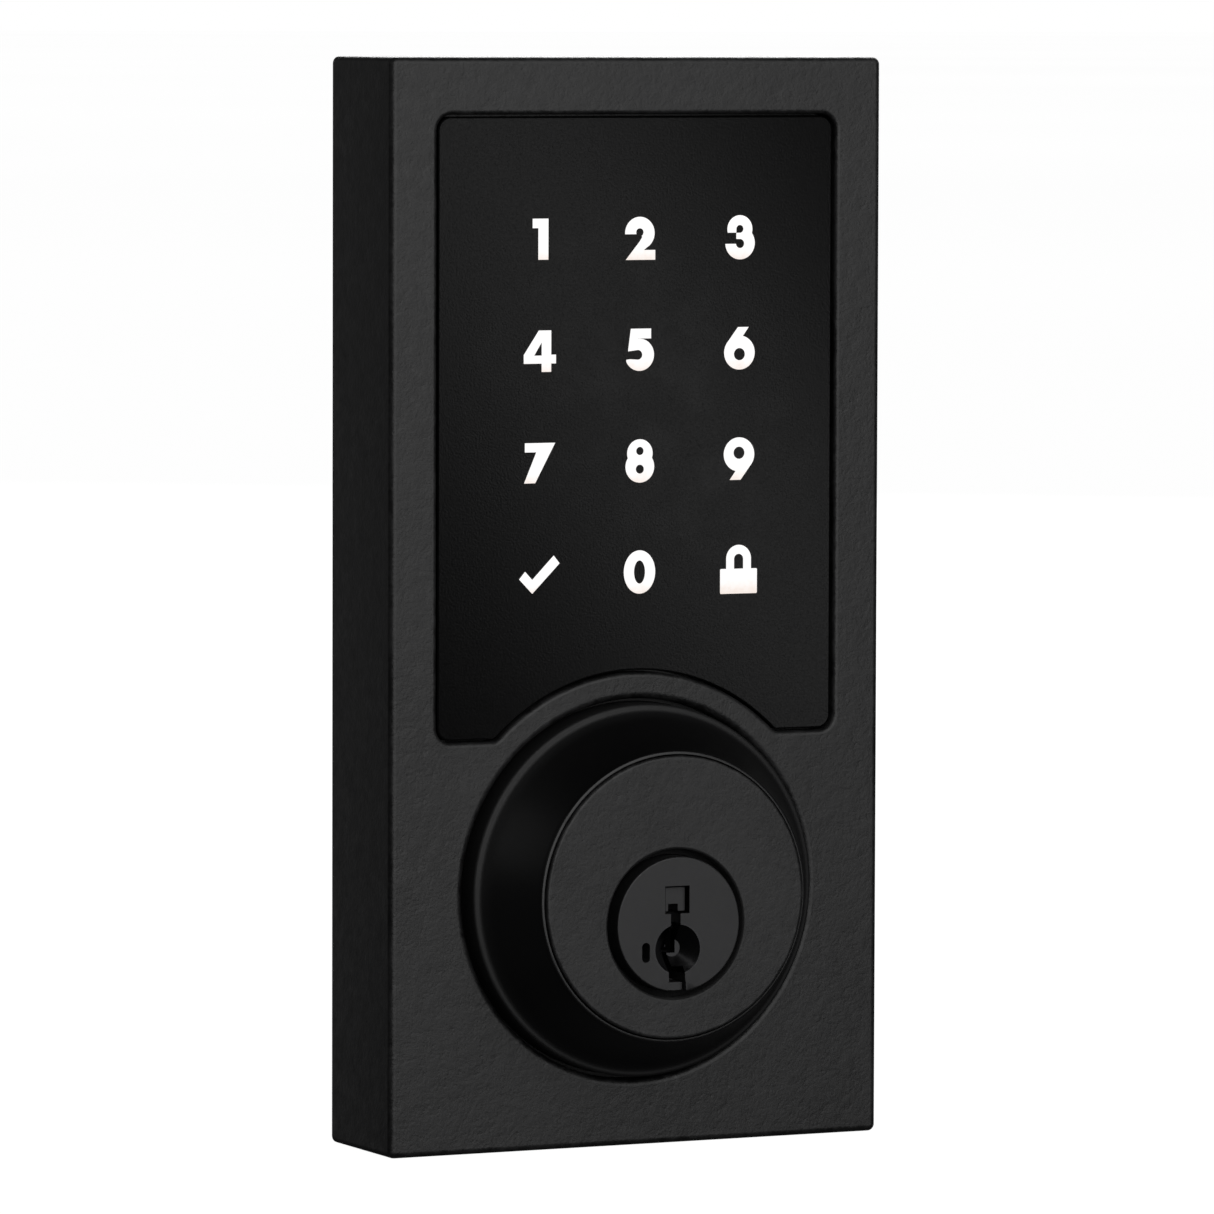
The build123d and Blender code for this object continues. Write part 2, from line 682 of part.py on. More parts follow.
def make_plug():
    body = rod(0, 0, plug_r, -plug_reach, plug_front)
    body = fillet(body.faces().sort_by(Axis.Y)[0].edges(), plug_edge)
    body -= slab(keyway_outline, plug_front - keyway_depth, plug_front)
    body -= block(*upper_window, block_low, plug_front)
    body -= block(lower_window[0], lower_window[1], -plug_r - 1, lower_window[2], block_low, plug_front)
    body -= rod(*dish_place, dish_r, insert_low, plug_front)
    tool_slot = Pos(*tool_slot_place) * Rot(0, 0, 90) * SlotOverall(*tool_slot_size)
    body -= slab(tool_slot, plug_front - tool_slot_depth, plug_front)
    for out in tumbler_outs:
        body -= upright(pin_x, out, chamber_r, pin_low - pin_foot_gap, plug_r + 1)
        body -= block_at(out, wafer_left - pin_fit, wafer_right + pin_fit, -wafer_height / 2 - wafer_gap_below,
                         wafer_height / 2 + tumbler_travel + wafer_gap_above, wafer_width + 2 * pin_fit)
        body -= block_at(out, wafer_x, pin_x, tab_low - pin_fit, tab_high + tumbler_travel + pin_fit,
                         tab_width + 2 * side_fit)
        body -= block_at(out, sidebar_inner_x, wafer_x, -finger_half - finger_fit, finger_half + finger_fit,
                         finger_width + 2 * side_fit)
    body -= block(pin_x - strip_half - strip_fit, pin_x + strip_half + strip_fit, spring_top, plug_r + 1,
                  tumbler_end - 2 * strip_fit, tumbler_start + 2 * strip_fit)
    slot_half = sidebar_half + sidebar_fit
    body -= block(-plug_r - 1, sidebar_inner_x + sidebar_fit, -slot_half, slot_half,
                  sidebar_low - sidebar_end_gap, sidebar_high + sidebar_end_gap)
    for out in sidebar_spring_outs:
        body -= across(sidebar_inner_x - sidebar_spring_r, spring_pocket_end, out,
                       sidebar_spring_r + sidebar_spring_fit)
    body -= rod(0, 0, blade_head_r + blade_fit, -plug_reach, pocket_front)
    body += rod(0, peg_orbit, peg_r, pocket_front - peg_length, pocket_front)
    groove = Circle(plug_r + 1) - Circle(clip_groove_r)
    return body - slab(groove, clip_front - clip_thick - clip_fit, clip_front + clip_fit)


insert_low = plug_front - insert_depth
block_high = plug_front - block_recess
block_low = block_high - block_depth
plug = make_plug()
save(plug, "plug")

# ---- hardened pieces set into the plug's face against drilling ----
insert = rod(*dish_place, dish_r, insert_low, plug_front)
dish_floor = plug_front - dish_depth
dish_profile = polygon((0, plug_front), (dish_r - dish_rim, plug_front), (dish_floor_r, dish_floor),
                       (0, dish_floor))
insert -= Pos(dish_place[0], 0, dish_place[1]) * turned(dish_profile)
insert -= slab(keyway_outline, insert_low, plug_front)
save_group(insert.solids(), "drill_inserts")
left, right, low, high = upper_window
upper_guard = block(left + block_fit, right - block_fit, low + block_fit, high - block_fit,
                    block_low, block_high)
save(upper_guard - slab(keyway_outline, block_low, block_high), "upper_guard_block")
left, right, high = lower_window
lower_guard = block(left + block_fit, right - block_fit, -plug_r - 1, high - block_fit, block_low, block_high)
save(lower_guard & rod(0, 0, plug_r - block_fit, block_low, block_high), "lower_guard_block")


# ---- tumblers: key pin with its spring, and the wafer the pin carries ----
def make_key_pin(out):
    pin = upright(pin_x, out, pin_r, pin_low, pin_high)
    pin = chamfer(pin.faces().sort_by(Axis.Z)[0].edges(), pin_tip)
    neck_low = tab_low - pin_fit
    neck_high = tab_high + pin_fit
    return pin - (upright(pin_x, out, pin_r + 1, neck_low, neck_high)
                  - upright(pin_x, out, pin_neck_r, neck_low, neck_high))


def make_wafer(out):
    wafer = block_at(out, wafer_left, wafer_right, -wafer_height / 2, wafer_height / 2, wafer_width)
    wafer += block_at(out, wafer_right, pin_x - pin_neck_r - pin_fit, tab_low, tab_high, tab_width)
    return wafer - block_at(out, wafer_left, wafer_left + gate_depth, -gate_half, gate_half, wafer_width)


spring_length = spring_top - pin_high - 2 * spring_gap
for number, out in enumerate(tumbler_outs, start=1):
    save(make_key_pin(out), f"key_pin_{number}")
    save(make_wafer(out), f"wafer_{number}")
    spring = coil(pin_r - spring_wire, spring_wire, spring_length, spring_turns)
    save(Pos(pin_x, -out, pin_high + spring_gap) * spring, f"tumbler_spring_{number}")

strip = block(pin_x - strip_half, pin_x + strip_half, spring_top, spring_top + strip_thick, tumbler_end,
              tumbler_start)
save(strip, "spring_cover")

# ---- sidebar: locks the plug to the housing when the wafers are out of line ----
nose_x = -(plug_r - sidebar_nose_gap)
taper_x = nose_x + sidebar_nose_taper
sidebar_outline = polygon((sidebar_inner_x, -sidebar_half), (taper_x, -sidebar_half),
                          (nose_x, -sidebar_nose_half), (nose_x, sidebar_nose_half), (taper_x, sidebar_half),
                          (sidebar_inner_x, sidebar_half))
sidebar = slab(sidebar_outline, sidebar_low, sidebar_high)
for out in tumbler_outs:
    sidebar += block_at(out, sidebar_inner_x, finger_end, -finger_half, finger_half, finger_width)
save(sidebar, "sidebar")
side_length = spring_pocket_end - sidebar_inner_x - 3 * sidebar_spring_gap
side_coil = Rot(0, 90, 0) * coil(sidebar_spring_r, sidebar_spring_wire, side_length, sidebar_spring_turns)
side_start = sidebar_inner_x + 1.5 * sidebar_spring_gap
save_group([Pos(side_start, -out, 0) * side_coil for out in sidebar_spring_outs], "sidebar_springs")


# ---- torque blade: carries the turn through the door, with free travel on the plug ----
def make_blade():
    head_front = blade_head_back + blade_head_thick
    head = rod(0, 0, blade_head_r, blade_head_back, head_front)
    band = Circle(peg_orbit + peg_r + peg_slot_clear) - Circle(peg_orbit - peg_r - peg_slot_clear)
    lean = radians(blade_swing + blade_swing_spare - 90)
    side = 2 * blade_head_r * cos(lean)
    fall = -2 * blade_head_r * sin(lean)
    uncut = polygon((0, 0), (-side, fall), (0, -3 * blade_head_r), (side, fall))
    head -= slab(band - uncut, head_front - peg_slot_depth, head_front)
    bar = slab(RectangleRounded(blade_width, blade_thick, blade_corner), -blade_reach, blade_head_back)
    whole = head + bar
    return chamfer(whole.faces().sort_by(Axis.Y)[-1].edges(), blade_corner)


save(make_blade(), "torque_blade")
retainer_outline = Circle(blade_head_r + blade_fit) - Circle(retainer_bore_r)
save(slab(retainer_outline, -plug_reach + retainer_inset, blade_head_back - retainer_play), "blade_retainer")
clip_outline = Circle(clip_r) - Circle(clip_groove_r + clip_fit)
clip_outline -= Pos(0, -clip_r) * Rectangle(clip_mouth, 2 * clip_r)
save(slab(clip_outline, clip_front - clip_thick, clip_front), "plug_clip")


# ---- back of the lock: plate, posts, grommet, gasket and their screws ----
def grommet_outline(grow):
    length, height = grommet_opening
    z = neck_r + grommet_clear + grommet_lip + grommet_wall + height / 2
    return Pos(0, z) * SlotOverall(length + 2 * grow, height + 2 * grow)


post_places = [(-post_spacing / 2, 0), (post_spacing / 2, 0)]
plate = slab(case_outline(case_wall + rear_fit, case_corner), plate_back, plate_front)
plate -= rod(0, 0, barrel_r + rear_fit, plate_back, plate_front)
plate -= slab(grommet_outline(grommet_wall), plate_back, plate_front)
for x, z in corners:
    plate -= sunk_hole(x, z, plate_screw_r + screw_fit, plate_back, plate_front, plate_head_r + screw_fit)
for x, z in lug_places:
    plate -= sunk_hole(x, z, cylinder_screw_r + screw_fit, plate_back, plate_front, cylinder_head_r + screw_fit)
for x, z in post_places:
    plate -= rod(x, z, post_r, plate_back, plate_front)
save(plate, "back_plate")
save_group([screw(x, z, plate_screw_r, plate_back, plate_screw_end, plate_head_r) for x, z in corners],
           "back_plate_screws")


def make_post(x, z):
    head = rod(x, z, post_head_r, plate_front, plate_front + post_head_high)
    post = rod(x, z, post_r, -post_reach, plate_front) + head
    post = chamfer(post.faces().sort_by(Axis.Y)[-1].edges(), post_head_chamfer)
    return post - rod(x, z, post_thread_r, -post_reach, -post_reach + post_thread_depth)


save_group([make_post(x, z) for x, z in post_places], "mounting_posts")
grommet = slab(grommet_outline(grommet_wall), plate_back, plate_front)
grommet += slab(grommet_outline(grommet_wall + grommet_lip), plate_front, plate_front + grommet_lip_thick)
grommet += slab(grommet_outline(grommet_wall + grommet_lip), plate_back - grommet_lip_thick, plate_back)
grommet -= slab(grommet_outline(0), plate_back - grommet_lip_thick, plate_front + grommet_lip_thick)
save(grommet, "cable_grommet")
gasket = slab(case_outline(case_wall + 2 * rear_fit, case_corner), 0, gasket_thick)
gasket -= rod(0, 0, door_bore_r, 0, gasket_thick)
notch = plate_head_r + gasket_notch_clear
for x, z in corners:
    side, end = (1 if x > 0 else -1), (1 if z > case_mid_z else -1)
    gasket -= rod(x, z, notch, 0, gasket_thick)
    gasket -= slab(Pos(x + side * boss_inset, z) * Rectangle(2 * boss_inset, 2 * notch), 0, gasket_thick)
    gasket -= slab(Pos(x, z + end * boss_inset) * Rectangle(2 * notch, 2 * boss_inset), 0, gasket_thick)
    gasket -= slab(Pos(x + side * boss_inset, z + end * boss_inset) * Rectangle(2 * boss_inset, 2 * boss_inset),
                   0, gasket_thick)
save(gasket, "door_gasket")
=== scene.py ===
import bmesh
import bpy
from math import atan2, cos, degrees, pi, radians, sin
from mathutils import Matrix, Vector


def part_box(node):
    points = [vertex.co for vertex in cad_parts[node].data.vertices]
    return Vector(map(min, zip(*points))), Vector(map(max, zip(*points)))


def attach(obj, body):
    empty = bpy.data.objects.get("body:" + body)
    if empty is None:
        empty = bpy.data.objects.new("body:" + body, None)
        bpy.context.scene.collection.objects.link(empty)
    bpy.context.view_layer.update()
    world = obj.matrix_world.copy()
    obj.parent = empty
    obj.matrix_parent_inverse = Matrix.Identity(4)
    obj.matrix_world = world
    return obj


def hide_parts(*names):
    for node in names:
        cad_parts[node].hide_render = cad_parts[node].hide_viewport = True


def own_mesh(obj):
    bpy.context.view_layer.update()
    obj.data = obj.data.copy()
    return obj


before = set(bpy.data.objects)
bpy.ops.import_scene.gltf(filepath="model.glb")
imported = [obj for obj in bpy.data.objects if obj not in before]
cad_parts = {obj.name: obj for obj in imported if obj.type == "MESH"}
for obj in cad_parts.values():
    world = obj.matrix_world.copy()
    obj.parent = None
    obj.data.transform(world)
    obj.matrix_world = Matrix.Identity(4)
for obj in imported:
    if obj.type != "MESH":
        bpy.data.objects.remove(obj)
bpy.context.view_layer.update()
MM = 0.001


# ---------------------------------------------------------------------------------------------
# Case: the zinc die casting that everything hangs in. It is open at the back, has a window for
# the touch lens and a round hole for the guard ring, both with rolled lips, and it is finished in
# matt black powder coat, which hangs a little thick on the lips and shows a fine pebbled skin.
# ---------------------------------------------------------------------------------------------
def extent(node):
    """A node's box in millimetres: left, right, lowest, highest, nearest the door, furthest out."""
    low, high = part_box(node)
    return low[0] / MM, high[0] / MM, low[2] / MM, high[2] / MM, -high[1] / MM, -low[1] / MM


case_left, case_right, case_bottom, case_top, case_back, case_front = extent("case")
case_mid_z = (case_top + case_bottom) / 2
case_wall = 2.0
case_inside = case_front - 2.2
case_corner = 0.9
case_edge = 0.8
rim_edge = 0.2
support = 0.04                   # a narrow band that keeps the flat beside a rolled edge flat

ring_left, ring_right, ring_bottom, ring_top, ring_back, ring_front = extent("guard_ring")
collar_z = (ring_top + ring_bottom) / 2
collar_r = (ring_right - ring_left) / 2 - 1.0
collar_lip = 0.9
lens_right, lens_bottom, lens_top, lens_back, lens_front = extent("touch_lens")[1:]
lens_flange = 1.2
panel_half = lens_right - lens_flange
panel_top = lens_top - lens_flange
panel_bottom = lens_bottom + lens_flange
panel_corner = 2.0
panel_foot = 1.2
panel_lip = 0.6
scoop_r = collar_r + 3.4


class Shell:
    """Collects closed loops of points, (x, z) at a distance out, in millimetres, and skins them."""

    def __init__(self):
        self.bm = bmesh.new()

    def loop(self, points, out):
        return [self.bm.verts.new((x * MM, -out * MM, z * MM)) for x, z in points]

    def run(self, *loops):
        for first, second in zip(loops, loops[1:]):
            count = len(first)
            for i in range(count):
                j = (i + 1) % count
                self.bm.faces.new((first[i], first[j], second[j], second[i]))

    def flat(self, *loops):
        """Fills a flat region bounded by one loop and pierced by the others."""
        edges = []
        for points in loops:
            for i, vert in enumerate(points):
                after = points[(i + 1) % len(points)]
                edges.append(self.bm.edges.get((vert, after)) or self.bm.edges.new((vert, after)))
        bmesh.ops.triangle_fill(self.bm, use_beauty=True, use_dissolve=False, edges=edges)

    def lathe(self, profile, x=0.0, z=0.0, count=160):
        """A closed profile of (radius, out) turned about an axis pointing out of the door."""
        loops = [self.loop(circle(x, z, r, count), out) for r, out in profile]
        self.run(*loops, loops[0])

    def piece(self, name, material, sharp=35):
        bmesh.ops.remove_doubles(self.bm, verts=self.bm.verts, dist=1e-7)
        bmesh.ops.recalc_face_normals(self.bm, faces=self.bm.faces)
        mesh = bpy.data.meshes.new(name)
        self.bm.to_mesh(mesh)
        self.bm.free()
        return finished(name, mesh, material, sharp)


def finished(name, mesh, material, sharp=35):
    """Shades a mesh smooth up to an angle, gives it its material and puts it in the scene."""
    mesh.materials.clear()
    mesh.materials.append(material)
    mesh.shade_smooth()
    mesh.set_sharp_from_angle(angle=radians(sharp))
    made = bpy.data.objects.new(name, mesh)
    bpy.context.scene.collection.objects.link(made)
    return made


def settle(piece, slot, body, *nodes):
    """Hides the CAD nodes that a piece stands for and hangs the piece on the body that carries it; slot is not used.
    """
    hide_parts(*nodes)
    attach(piece, body)


def arc(x, z, r, start, end, steps):
    """Points on an arc, angles in degrees anticlockwise from the right."""
    turns = [radians(start + (end - start) * i / steps) for i in range(steps + 1)]
    return [(x + r * cos(a), z + r * sin(a)) for a in turns]


def circle(x, z, r, count=160):
    return [(x + r * cos(2 * pi * i / count), z + r * sin(2 * pi * i / count)) for i in range(count)]


def case_loop(inset):
    """The case's outline drawn in from its outer faces."""
    r = max(case_corner - inset, 0.05)
    right, top = case_right - inset - r, case_top - inset - r
    left, bottom = case_left + inset + r, case_bottom + inset + r
    return (arc(right, bottom, r, -90, 0, 6) + arc(right, top, r, 0, 90, 6)
            + arc(left, top, r, 90, 180, 6) + arc(left, bottom, r, 180, 270, 6))


def panel_loop(grow, corner=None):
    """The touch window's outline: rounded above, scooped below round the guard ring."""
    r, foot = corner or panel_corner + grow, panel_foot + grow
    corner_x = panel_half + grow - r
    top, bottom = panel_top + grow - r, panel_bottom - grow + r
    foot_z = panel_bottom + panel_foot
    foot_x = ((scoop_r + panel_foot) ** 2 - (foot_z - collar_z) ** 2) ** 0.5
    lean = degrees(atan2(foot_z - collar_z, foot_x))
    half = (arc(0, collar_z, scoop_r - grow, 90, lean, 24) + arc(foot_x, foot_z, foot, lean + 180, 270, 8)[1:]
            + arc(corner_x, bottom, r, -90, 0, 8) + arc(corner_x, top, r, 0, 90, 8))
    return half + [(-x, z) for x, z in reversed(half[1:])]


def rolled(radius, steps=6):
    """How far across and how far below the flat each step of a rolled edge lies, from the wall up."""
    turns = [pi / 2 * i / steps for i in range(steps + 1)]
    return [(radius * (1 - cos(a)), radius * (1 - sin(a))) for a in turns]


class Wire:
    """A socket in a material's node tree. Sums written with it add Math nodes."""

    def __init__(self, socket):
        self.socket = socket

    def make(self, kind, settings=None, inputs=None, out=0):
        """Adds any node: its settings first, then the values or wires of its sockets."""
        tree = self.socket.id_data
        node = tree.nodes.new(kind)
        for name, value in (settings or {}).items():
            setattr(node, name, value)
        for key, value in (inputs or {}).items():
            if isinstance(value, Wire):
                tree.links.new(value.socket, node.inputs[key])
            else:
                node.inputs[key].default_value = value
        return Wire(node.outputs[out])

    def maths(self, operation, first, second=0.0):
        return self.make("ShaderNodeMath", {"operation": operation}, {0: first, 1: second})

    def __add__(self, other):
        return self.maths("ADD", self, other)

    def __sub__(self, other):
        return self.maths("SUBTRACT", self, other)

    def __rsub__(self, other):
        return self.maths("SUBTRACT", other, self)

    def __mul__(self, other):
        return self.maths("MULTIPLY", self, other)

    def __truediv__(self, other):
        return self.maths("DIVIDE", self, other)

    __radd__ = __add__
    __rmul__ = __mul__

    def size(self):
        return self.maths("ABSOLUTE", self)

    def fraction(self):
        return self.maths("FRACT", self)

    def hypot(self, other):
        """The long side of the right-angled triangle with these two short sides."""
        total = self * self + other * other
        return total.maths("SQRT", total)

    def either(self, other):
        return self.maths("MAXIMUM", self, other)

    def over(self, low, high):
        """0 below low, 1 above high, and smooth between."""
        return self.make("ShaderNodeMapRange", {"interpolation_type": "SMOOTHSTEP"},
                         {"Value": self, "From Min": low, "From Max": high})

    def over_straight(self, low, high):
        """0 below low, 1 above high, and a straight line between."""
        return self.make("ShaderNodeMapRange", None, {"Value": self, "From Min": low, "From Max": high})

    def over_step(self, edge):
        return self.maths("GREATER_THAN", self, edge)

    def speckle(self, size, detail=2.0, rough=0.5):
        """Noise around 0.5 with blotches of about this size in metres."""
        return self.make("ShaderNodeTexNoise", None,
                         {"Vector": self, "Scale": 1 / size, "Detail": detail, "Roughness": rough})

    def stretch(self, x, y, z):
        """The same place, scaled along each axis, for grain that runs one way."""
        return self.make("ShaderNodeMapping", None, {"Vector": self, "Scale": (x, y, z)})

    def split(self):
        node = self.make("ShaderNodeSeparateXYZ", None, {"Vector": self}).socket.node
        return [Wire(out) for out in node.outputs]

    def tint(self, low, high):
        """A colour between two, by this wire."""
        return self.make("ShaderNodeMix", {"data_type": "RGBA"},
                         {"Factor": self, "A": (*low, 1), "B": (*high, 1)}, out=2)


class Finish:
    """A material: a Principled surface, and the object coordinates that its texture reads."""

    def __init__(self, name, **constants):
        self.material = bpy.data.materials.new(name)
        self.material.use_nodes = True
        self.shader = self.material.node_tree.nodes["Principled BSDF"]
        for socket, value in constants.items():
            self.shader.inputs[socket.replace("_", " ")].default_value = value
        coords = self.material.node_tree.nodes.new("ShaderNodeTexCoord")
        self.place = Wire(coords.outputs["Object"])

    def feed(self, **wires):
        """Wires what varies over the surface into the shader."""
        for socket, wire in wires.items():
            self.material.node_tree.links.new(wire.socket, self.shader.inputs[socket.replace("_", " ")])
        return self

    def bump(self, height, depth):
        """Relief: height runs from 0 to 1 and stands depth metres tall."""
        return self.feed(Normal=height.make("ShaderNodeBump", None, {"Height": height, "Distance": depth}))


def powder_coat(name, dark, light, rough, rub_and_shade_mask):
    """Matt black powder coat: pebbled skin, faint cloudiness, lighter wear where the given mask is above zero, and
    painted shade, darker and rougher, where it is below zero.
    """
    coat = Finish(name, Specular_IOR_Level=0.5)
    cloud = coat.place.speckle(0.011, detail=3.0)
    peel = coat.place.speckle(0.0016, detail=3.0, rough=0.6)
    grain = coat.place.speckle(0.00042, detail=3.0, rough=0.6)
    shade = (cloud * 0.35 + peel * 0.4 + grain * 0.25).over(0.4, 0.6)
    # The mask lightens the coat where there is wear and, below zero, darkens and roughens it as painted shade.
    rub_and_shade = rub_and_shade_mask(coat.place)
    coat.feed(Base_Color=(shade * 0.8 + rub_and_shade).tint(dark, light),
              Roughness=grain * 0.14 + peel * 0.28 + cloud * 0.1 + (rough - 0.26) - rub_and_shade * 0.1)
    return coat.bump(grain * 0.35 + peel * 0.65, 0.00011)


def case_rub(place):
    """Where sleeves and key rings wear the coat: a broken line along the casting's front edges."""
    x, y, z = place.split()
    side = x.size().over((case_right - 0.9) * MM, (case_right - 0.2) * MM)
    end = (z - case_mid_z * MM).size().over((case_top - case_mid_z - 0.9) * MM, (case_top - case_mid_z - 0.2) * MM)
    front = (0.0 - y).over((case_front - 1.0) * MM, (case_front - 0.3) * MM)
    broken = place.speckle(0.004, detail=4.0).over(0.56, 0.72)
    return side.either(end) * front * broken * 0.35


case_coat = powder_coat("case_powder_coat", (0.003, 0.003, 0.0031), (0.018, 0.018, 0.0183), 0.46, case_rub)

shell = Shell()
front_edge = [shell.loop(case_loop(inset), case_front - drop) for inset, drop in rolled(case_edge)]
front_edge.append(shell.loop(case_loop(case_edge + support), case_front))
window = [shell.loop(panel_loop(grow), case_front - drop) for grow, drop in rolled(panel_lip)]
window.append(shell.loop(panel_loop(panel_lip + support), case_front))
collar = [shell.loop(circle(0, collar_z, collar_r + grow), case_front - drop) for grow, drop in rolled(collar_lip)]
collar.append(shell.loop(circle(0, collar_z, collar_r + collar_lip + support), case_front))
rim_side = shell.loop(case_loop(0), case_back + rim_edge)
rim_outer = shell.loop(case_loop(rim_edge), case_back)
rim_inner = shell.loop(case_loop(case_wall), case_back)
inside = shell.loop(case_loop(case_wall), case_inside)
inside_window = shell.loop(panel_loop(0), case_inside)
inside_collar = shell.loop(circle(0, collar_z, collar_r), case_inside)
shell.run(inside, rim_inner, rim_outer, rim_side, *front_edge)
shell.run(inside_window, *window)
shell.run(inside_collar, *collar)
shell.flat(front_edge[-1], window[-1], collar[-1])
shell.flat(inside, inside_window, inside_collar)

boss_inset = 4.55
boss_x = case_right - boss_inset
corners = [(x, z) for x in (-boss_x, boss_x) for z in (case_bottom + boss_inset, case_top - boss_inset)]
boss_foot = 3.6
boss_bore = 1.25
for x, z in corners:
    shell.lathe([(2.7, boss_foot), (2.7, case_inside), (boss_bore, case_inside), (boss_bore, boss_foot)], x, z, 40)
case = shell.piece("case_casting", case_coat.material)
settle(case, "case_coat", "lock_body", "case")

# ---------------------------------------------------------------------------------------------
# Touch lens: smoked polycarbonate, moulded with a fine satin skin so that fingers leave less of a
# mark. Round the middle of the keypad the skin is a little polished by use.
# ---------------------------------------------------------------------------------------------
lens = Finish("smoked_lens", Specular_IOR_Level=0.42)
skin = lens.place.speckle(0.00025, detail=2.0)
x, y, z = lens.place.split()
polish_z = 65.0
polish_core = 12.0
polish_reach = 34.0
away = x.hypot(z - polish_z * MM)
polish = (1.0 - away.over(polish_core * MM, polish_reach * MM)) * lens.place.speckle(0.006, detail=5.0).over(0.4, 0.7)
lens.feed(Base_Color=skin.tint((0.0035, 0.0035, 0.0038), (0.0055, 0.0055, 0.0058)),
          Roughness=skin * 0.16 + 0.11 - polish * 0.03)
lens.bump(skin, 0.00001)

lens_gap = 0.25
lens_edge = 0.2
lens_flange_corner = 4.5
lens_flange_thick = 1.3
lens_seat = lens_back + lens_flange_thick
shell = Shell()
land = [shell.loop(panel_loop(-lens_gap - inset), lens_front - drop) for inset, drop in rolled(lens_edge, 4)]
land.append(shell.loop(panel_loop(-lens_gap - lens_edge - support), lens_front))
land_foot = shell.loop(panel_loop(-lens_gap), lens_seat)
flange_front = shell.loop(panel_loop(lens_flange, lens_flange_corner), lens_seat)
flange_back = shell.loop(panel_loop(lens_flange, lens_flange_corner), lens_back)
shell.run(flange_back, flange_front, land_foot, *land)
shell.flat(land[-1])
shell.flat(flange_back)
lens_piece = shell.piece("touch_lens_moulding", lens.material)
settle(lens_piece, "smoked_lens", "lock_body", "touch_lens")

# ---------------------------------------------------------------------------------------------
# Key legends: clear-white windows moulded through the lens and lit from behind. The lamps sit
# high in their wells, so each legend falls off slightly warm towards its foot.
# ---------------------------------------------------------------------------------------------
legend = Finish("lit_legend", Roughness=0.35, Emission_Strength=1.0)
x, y, z = legend.place.split()
key_pitch = 14.18 * MM
key_first = 86.45 * MM
row = ((z - key_first) * (1 / key_pitch) + 0.5).fraction()
mottle = legend.place.speckle(0.0006, detail=2.0) * 0.12
legend.feed(Base_Color=(row + mottle).over(0.30, 0.46).tint((0.20, 0.19, 0.18), (0.24, 0.24, 0.24)),
            Emission_Color=(row + mottle).over(0.32, 0.50).tint((0.80, 0.70, 0.64), (0.90, 0.885, 0.88)))


def smoothed(node, name, material, body, slot, sharp=22):
    """A copy of a CAD node, welded and shaded smooth round its curves, that stands for it."""
    bm = bmesh.new()
    bm.from_mesh(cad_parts[node].data)
    bmesh.ops.remove_doubles(bm, verts=bm.verts, dist=5e-7)
    bm.verts.index_update()
    mesh = bpy.data.meshes.new(name)
    mesh.from_pydata([v.co for v in bm.verts], [], [[v.index for v in face.verts] for face in bm.faces])
    bm.free()
    made = finished(name, mesh, material, sharp)
    flats = made.modifiers.new("flats", "WEIGHTED_NORMAL")
    flats.keep_sharp = True
    flats.weight = 100
    settle(made, slot, body, node)
    return made


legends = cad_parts["key_legends"]
for held in legends.material_slots:
    held.material = legend.material
legends.visible_glossy = False
legends.visible_diffuse = False

# ---------------------------------------------------------------------------------------------
# Guard ring: a hardened steel collar, turned, blackened and waxed, that spins freely round the
# cylinder so that a wrench can't hold it. Its cone is slightly hollow and ends in a small bead,
# which hands have worn duller than the cone.
# ---------------------------------------------------------------------------------------------
ring_bore = 18.09
ring_top_r = 18.6
ring_base_r = collar_r - 0.5
ring_land = 3.5
ring_crown = 0.25
bead_wide = 1.1
bead_drop = 0.95
bead_r = ring_base_r - bead_wide
bead_top = case_front + 2.43
flange_r = collar_r + 1.0
flange_top = ring_back + 1.2


def bowed(start, middle, end, steps):
    """Points on a smooth bend through three points of a profile, without its first."""
    points = []
    for i in range(1, steps + 1):
        t = i / steps
        weights = (1 - t) * (1 - 2 * t), 4 * t * (1 - t), t * (2 * t - 1)
        points.append(tuple(sum(w * p[k] for w, p in zip(weights, (start, middle, end))) for k in (0, 1)))
    return points


ring_coat = Finish("ring_black_oxide", Specular_IOR_Level=0.5, Metallic=0.0)
cloud = ring_coat.place.speckle(0.012, detail=3.0)
grain = ring_coat.place.speckle(0.0005, detail=2.0)
x, y, z = ring_coat.place.split()
crown_rub = (0.0 - y).over((ring_front - 0.45) * MM, (ring_front - 0.1) * MM) * ring_coat.place.speckle(
    0.003, detail=4.0).over(0.5, 0.7)
handled = x.hypot(z - collar_z * MM).over((bead_r - 1.0) * MM, (bead_r + 0.3) * MM)
ring_coat.feed(Base_Color=(cloud * 0.6 + crown_rub * 0.35).tint((0.0022, 0.0022, 0.0023), (0.005, 0.005, 0.0052)),
               Roughness=cloud * 0.06 + grain * 0.08 + 0.28 + crown_rub * 0.08 + handled * 0.24)
ring_coat.bump(grain, 0.000008)

cone_start = (ring_top_r, ring_front - ring_crown)
cone_end = (bead_r, bead_top)
cone_mid = ((ring_top_r + bead_r) / 2 - 0.25, (ring_front + bead_top) / 2)
profile = [(ring_bore, ring_front - 0.1), (ring_bore + 0.1, ring_front), (ring_top_r - ring_crown, ring_front)]
profile += bowed(profile[-1], (ring_top_r - 0.07, ring_front - 0.08), cone_start, 4)
profile += bowed(cone_start, cone_mid, cone_end, 18)
bead_middle = (ring_base_r - bead_wide / 2, bead_top - bead_drop * 0.4)
profile += bowed(cone_end, (bead_r + bead_wide * 0.22, bead_top - bead_drop * 0.28), bead_middle, 5)
profile += bowed(bead_middle, (ring_base_r - bead_wide * 0.12, bead_top - bead_drop * 0.56),
                 (ring_base_r, bead_top - bead_drop), 7)
profile += [(ring_base_r, flange_top + 0.1), (ring_base_r + 0.1, flange_top), (flange_r - 0.1, flange_top),
            (flange_r, flange_top - 0.1), (flange_r, ring_back), (ring_base_r - 2.4, ring_back),
            (ring_base_r - 2.6, ring_back + 2.0), (ring_bore + 0.8, ring_front - ring_land),
            (ring_bore, ring_front - ring_land)]
shell = Shell()
shell.lathe(profile, 0, collar_z, 192)
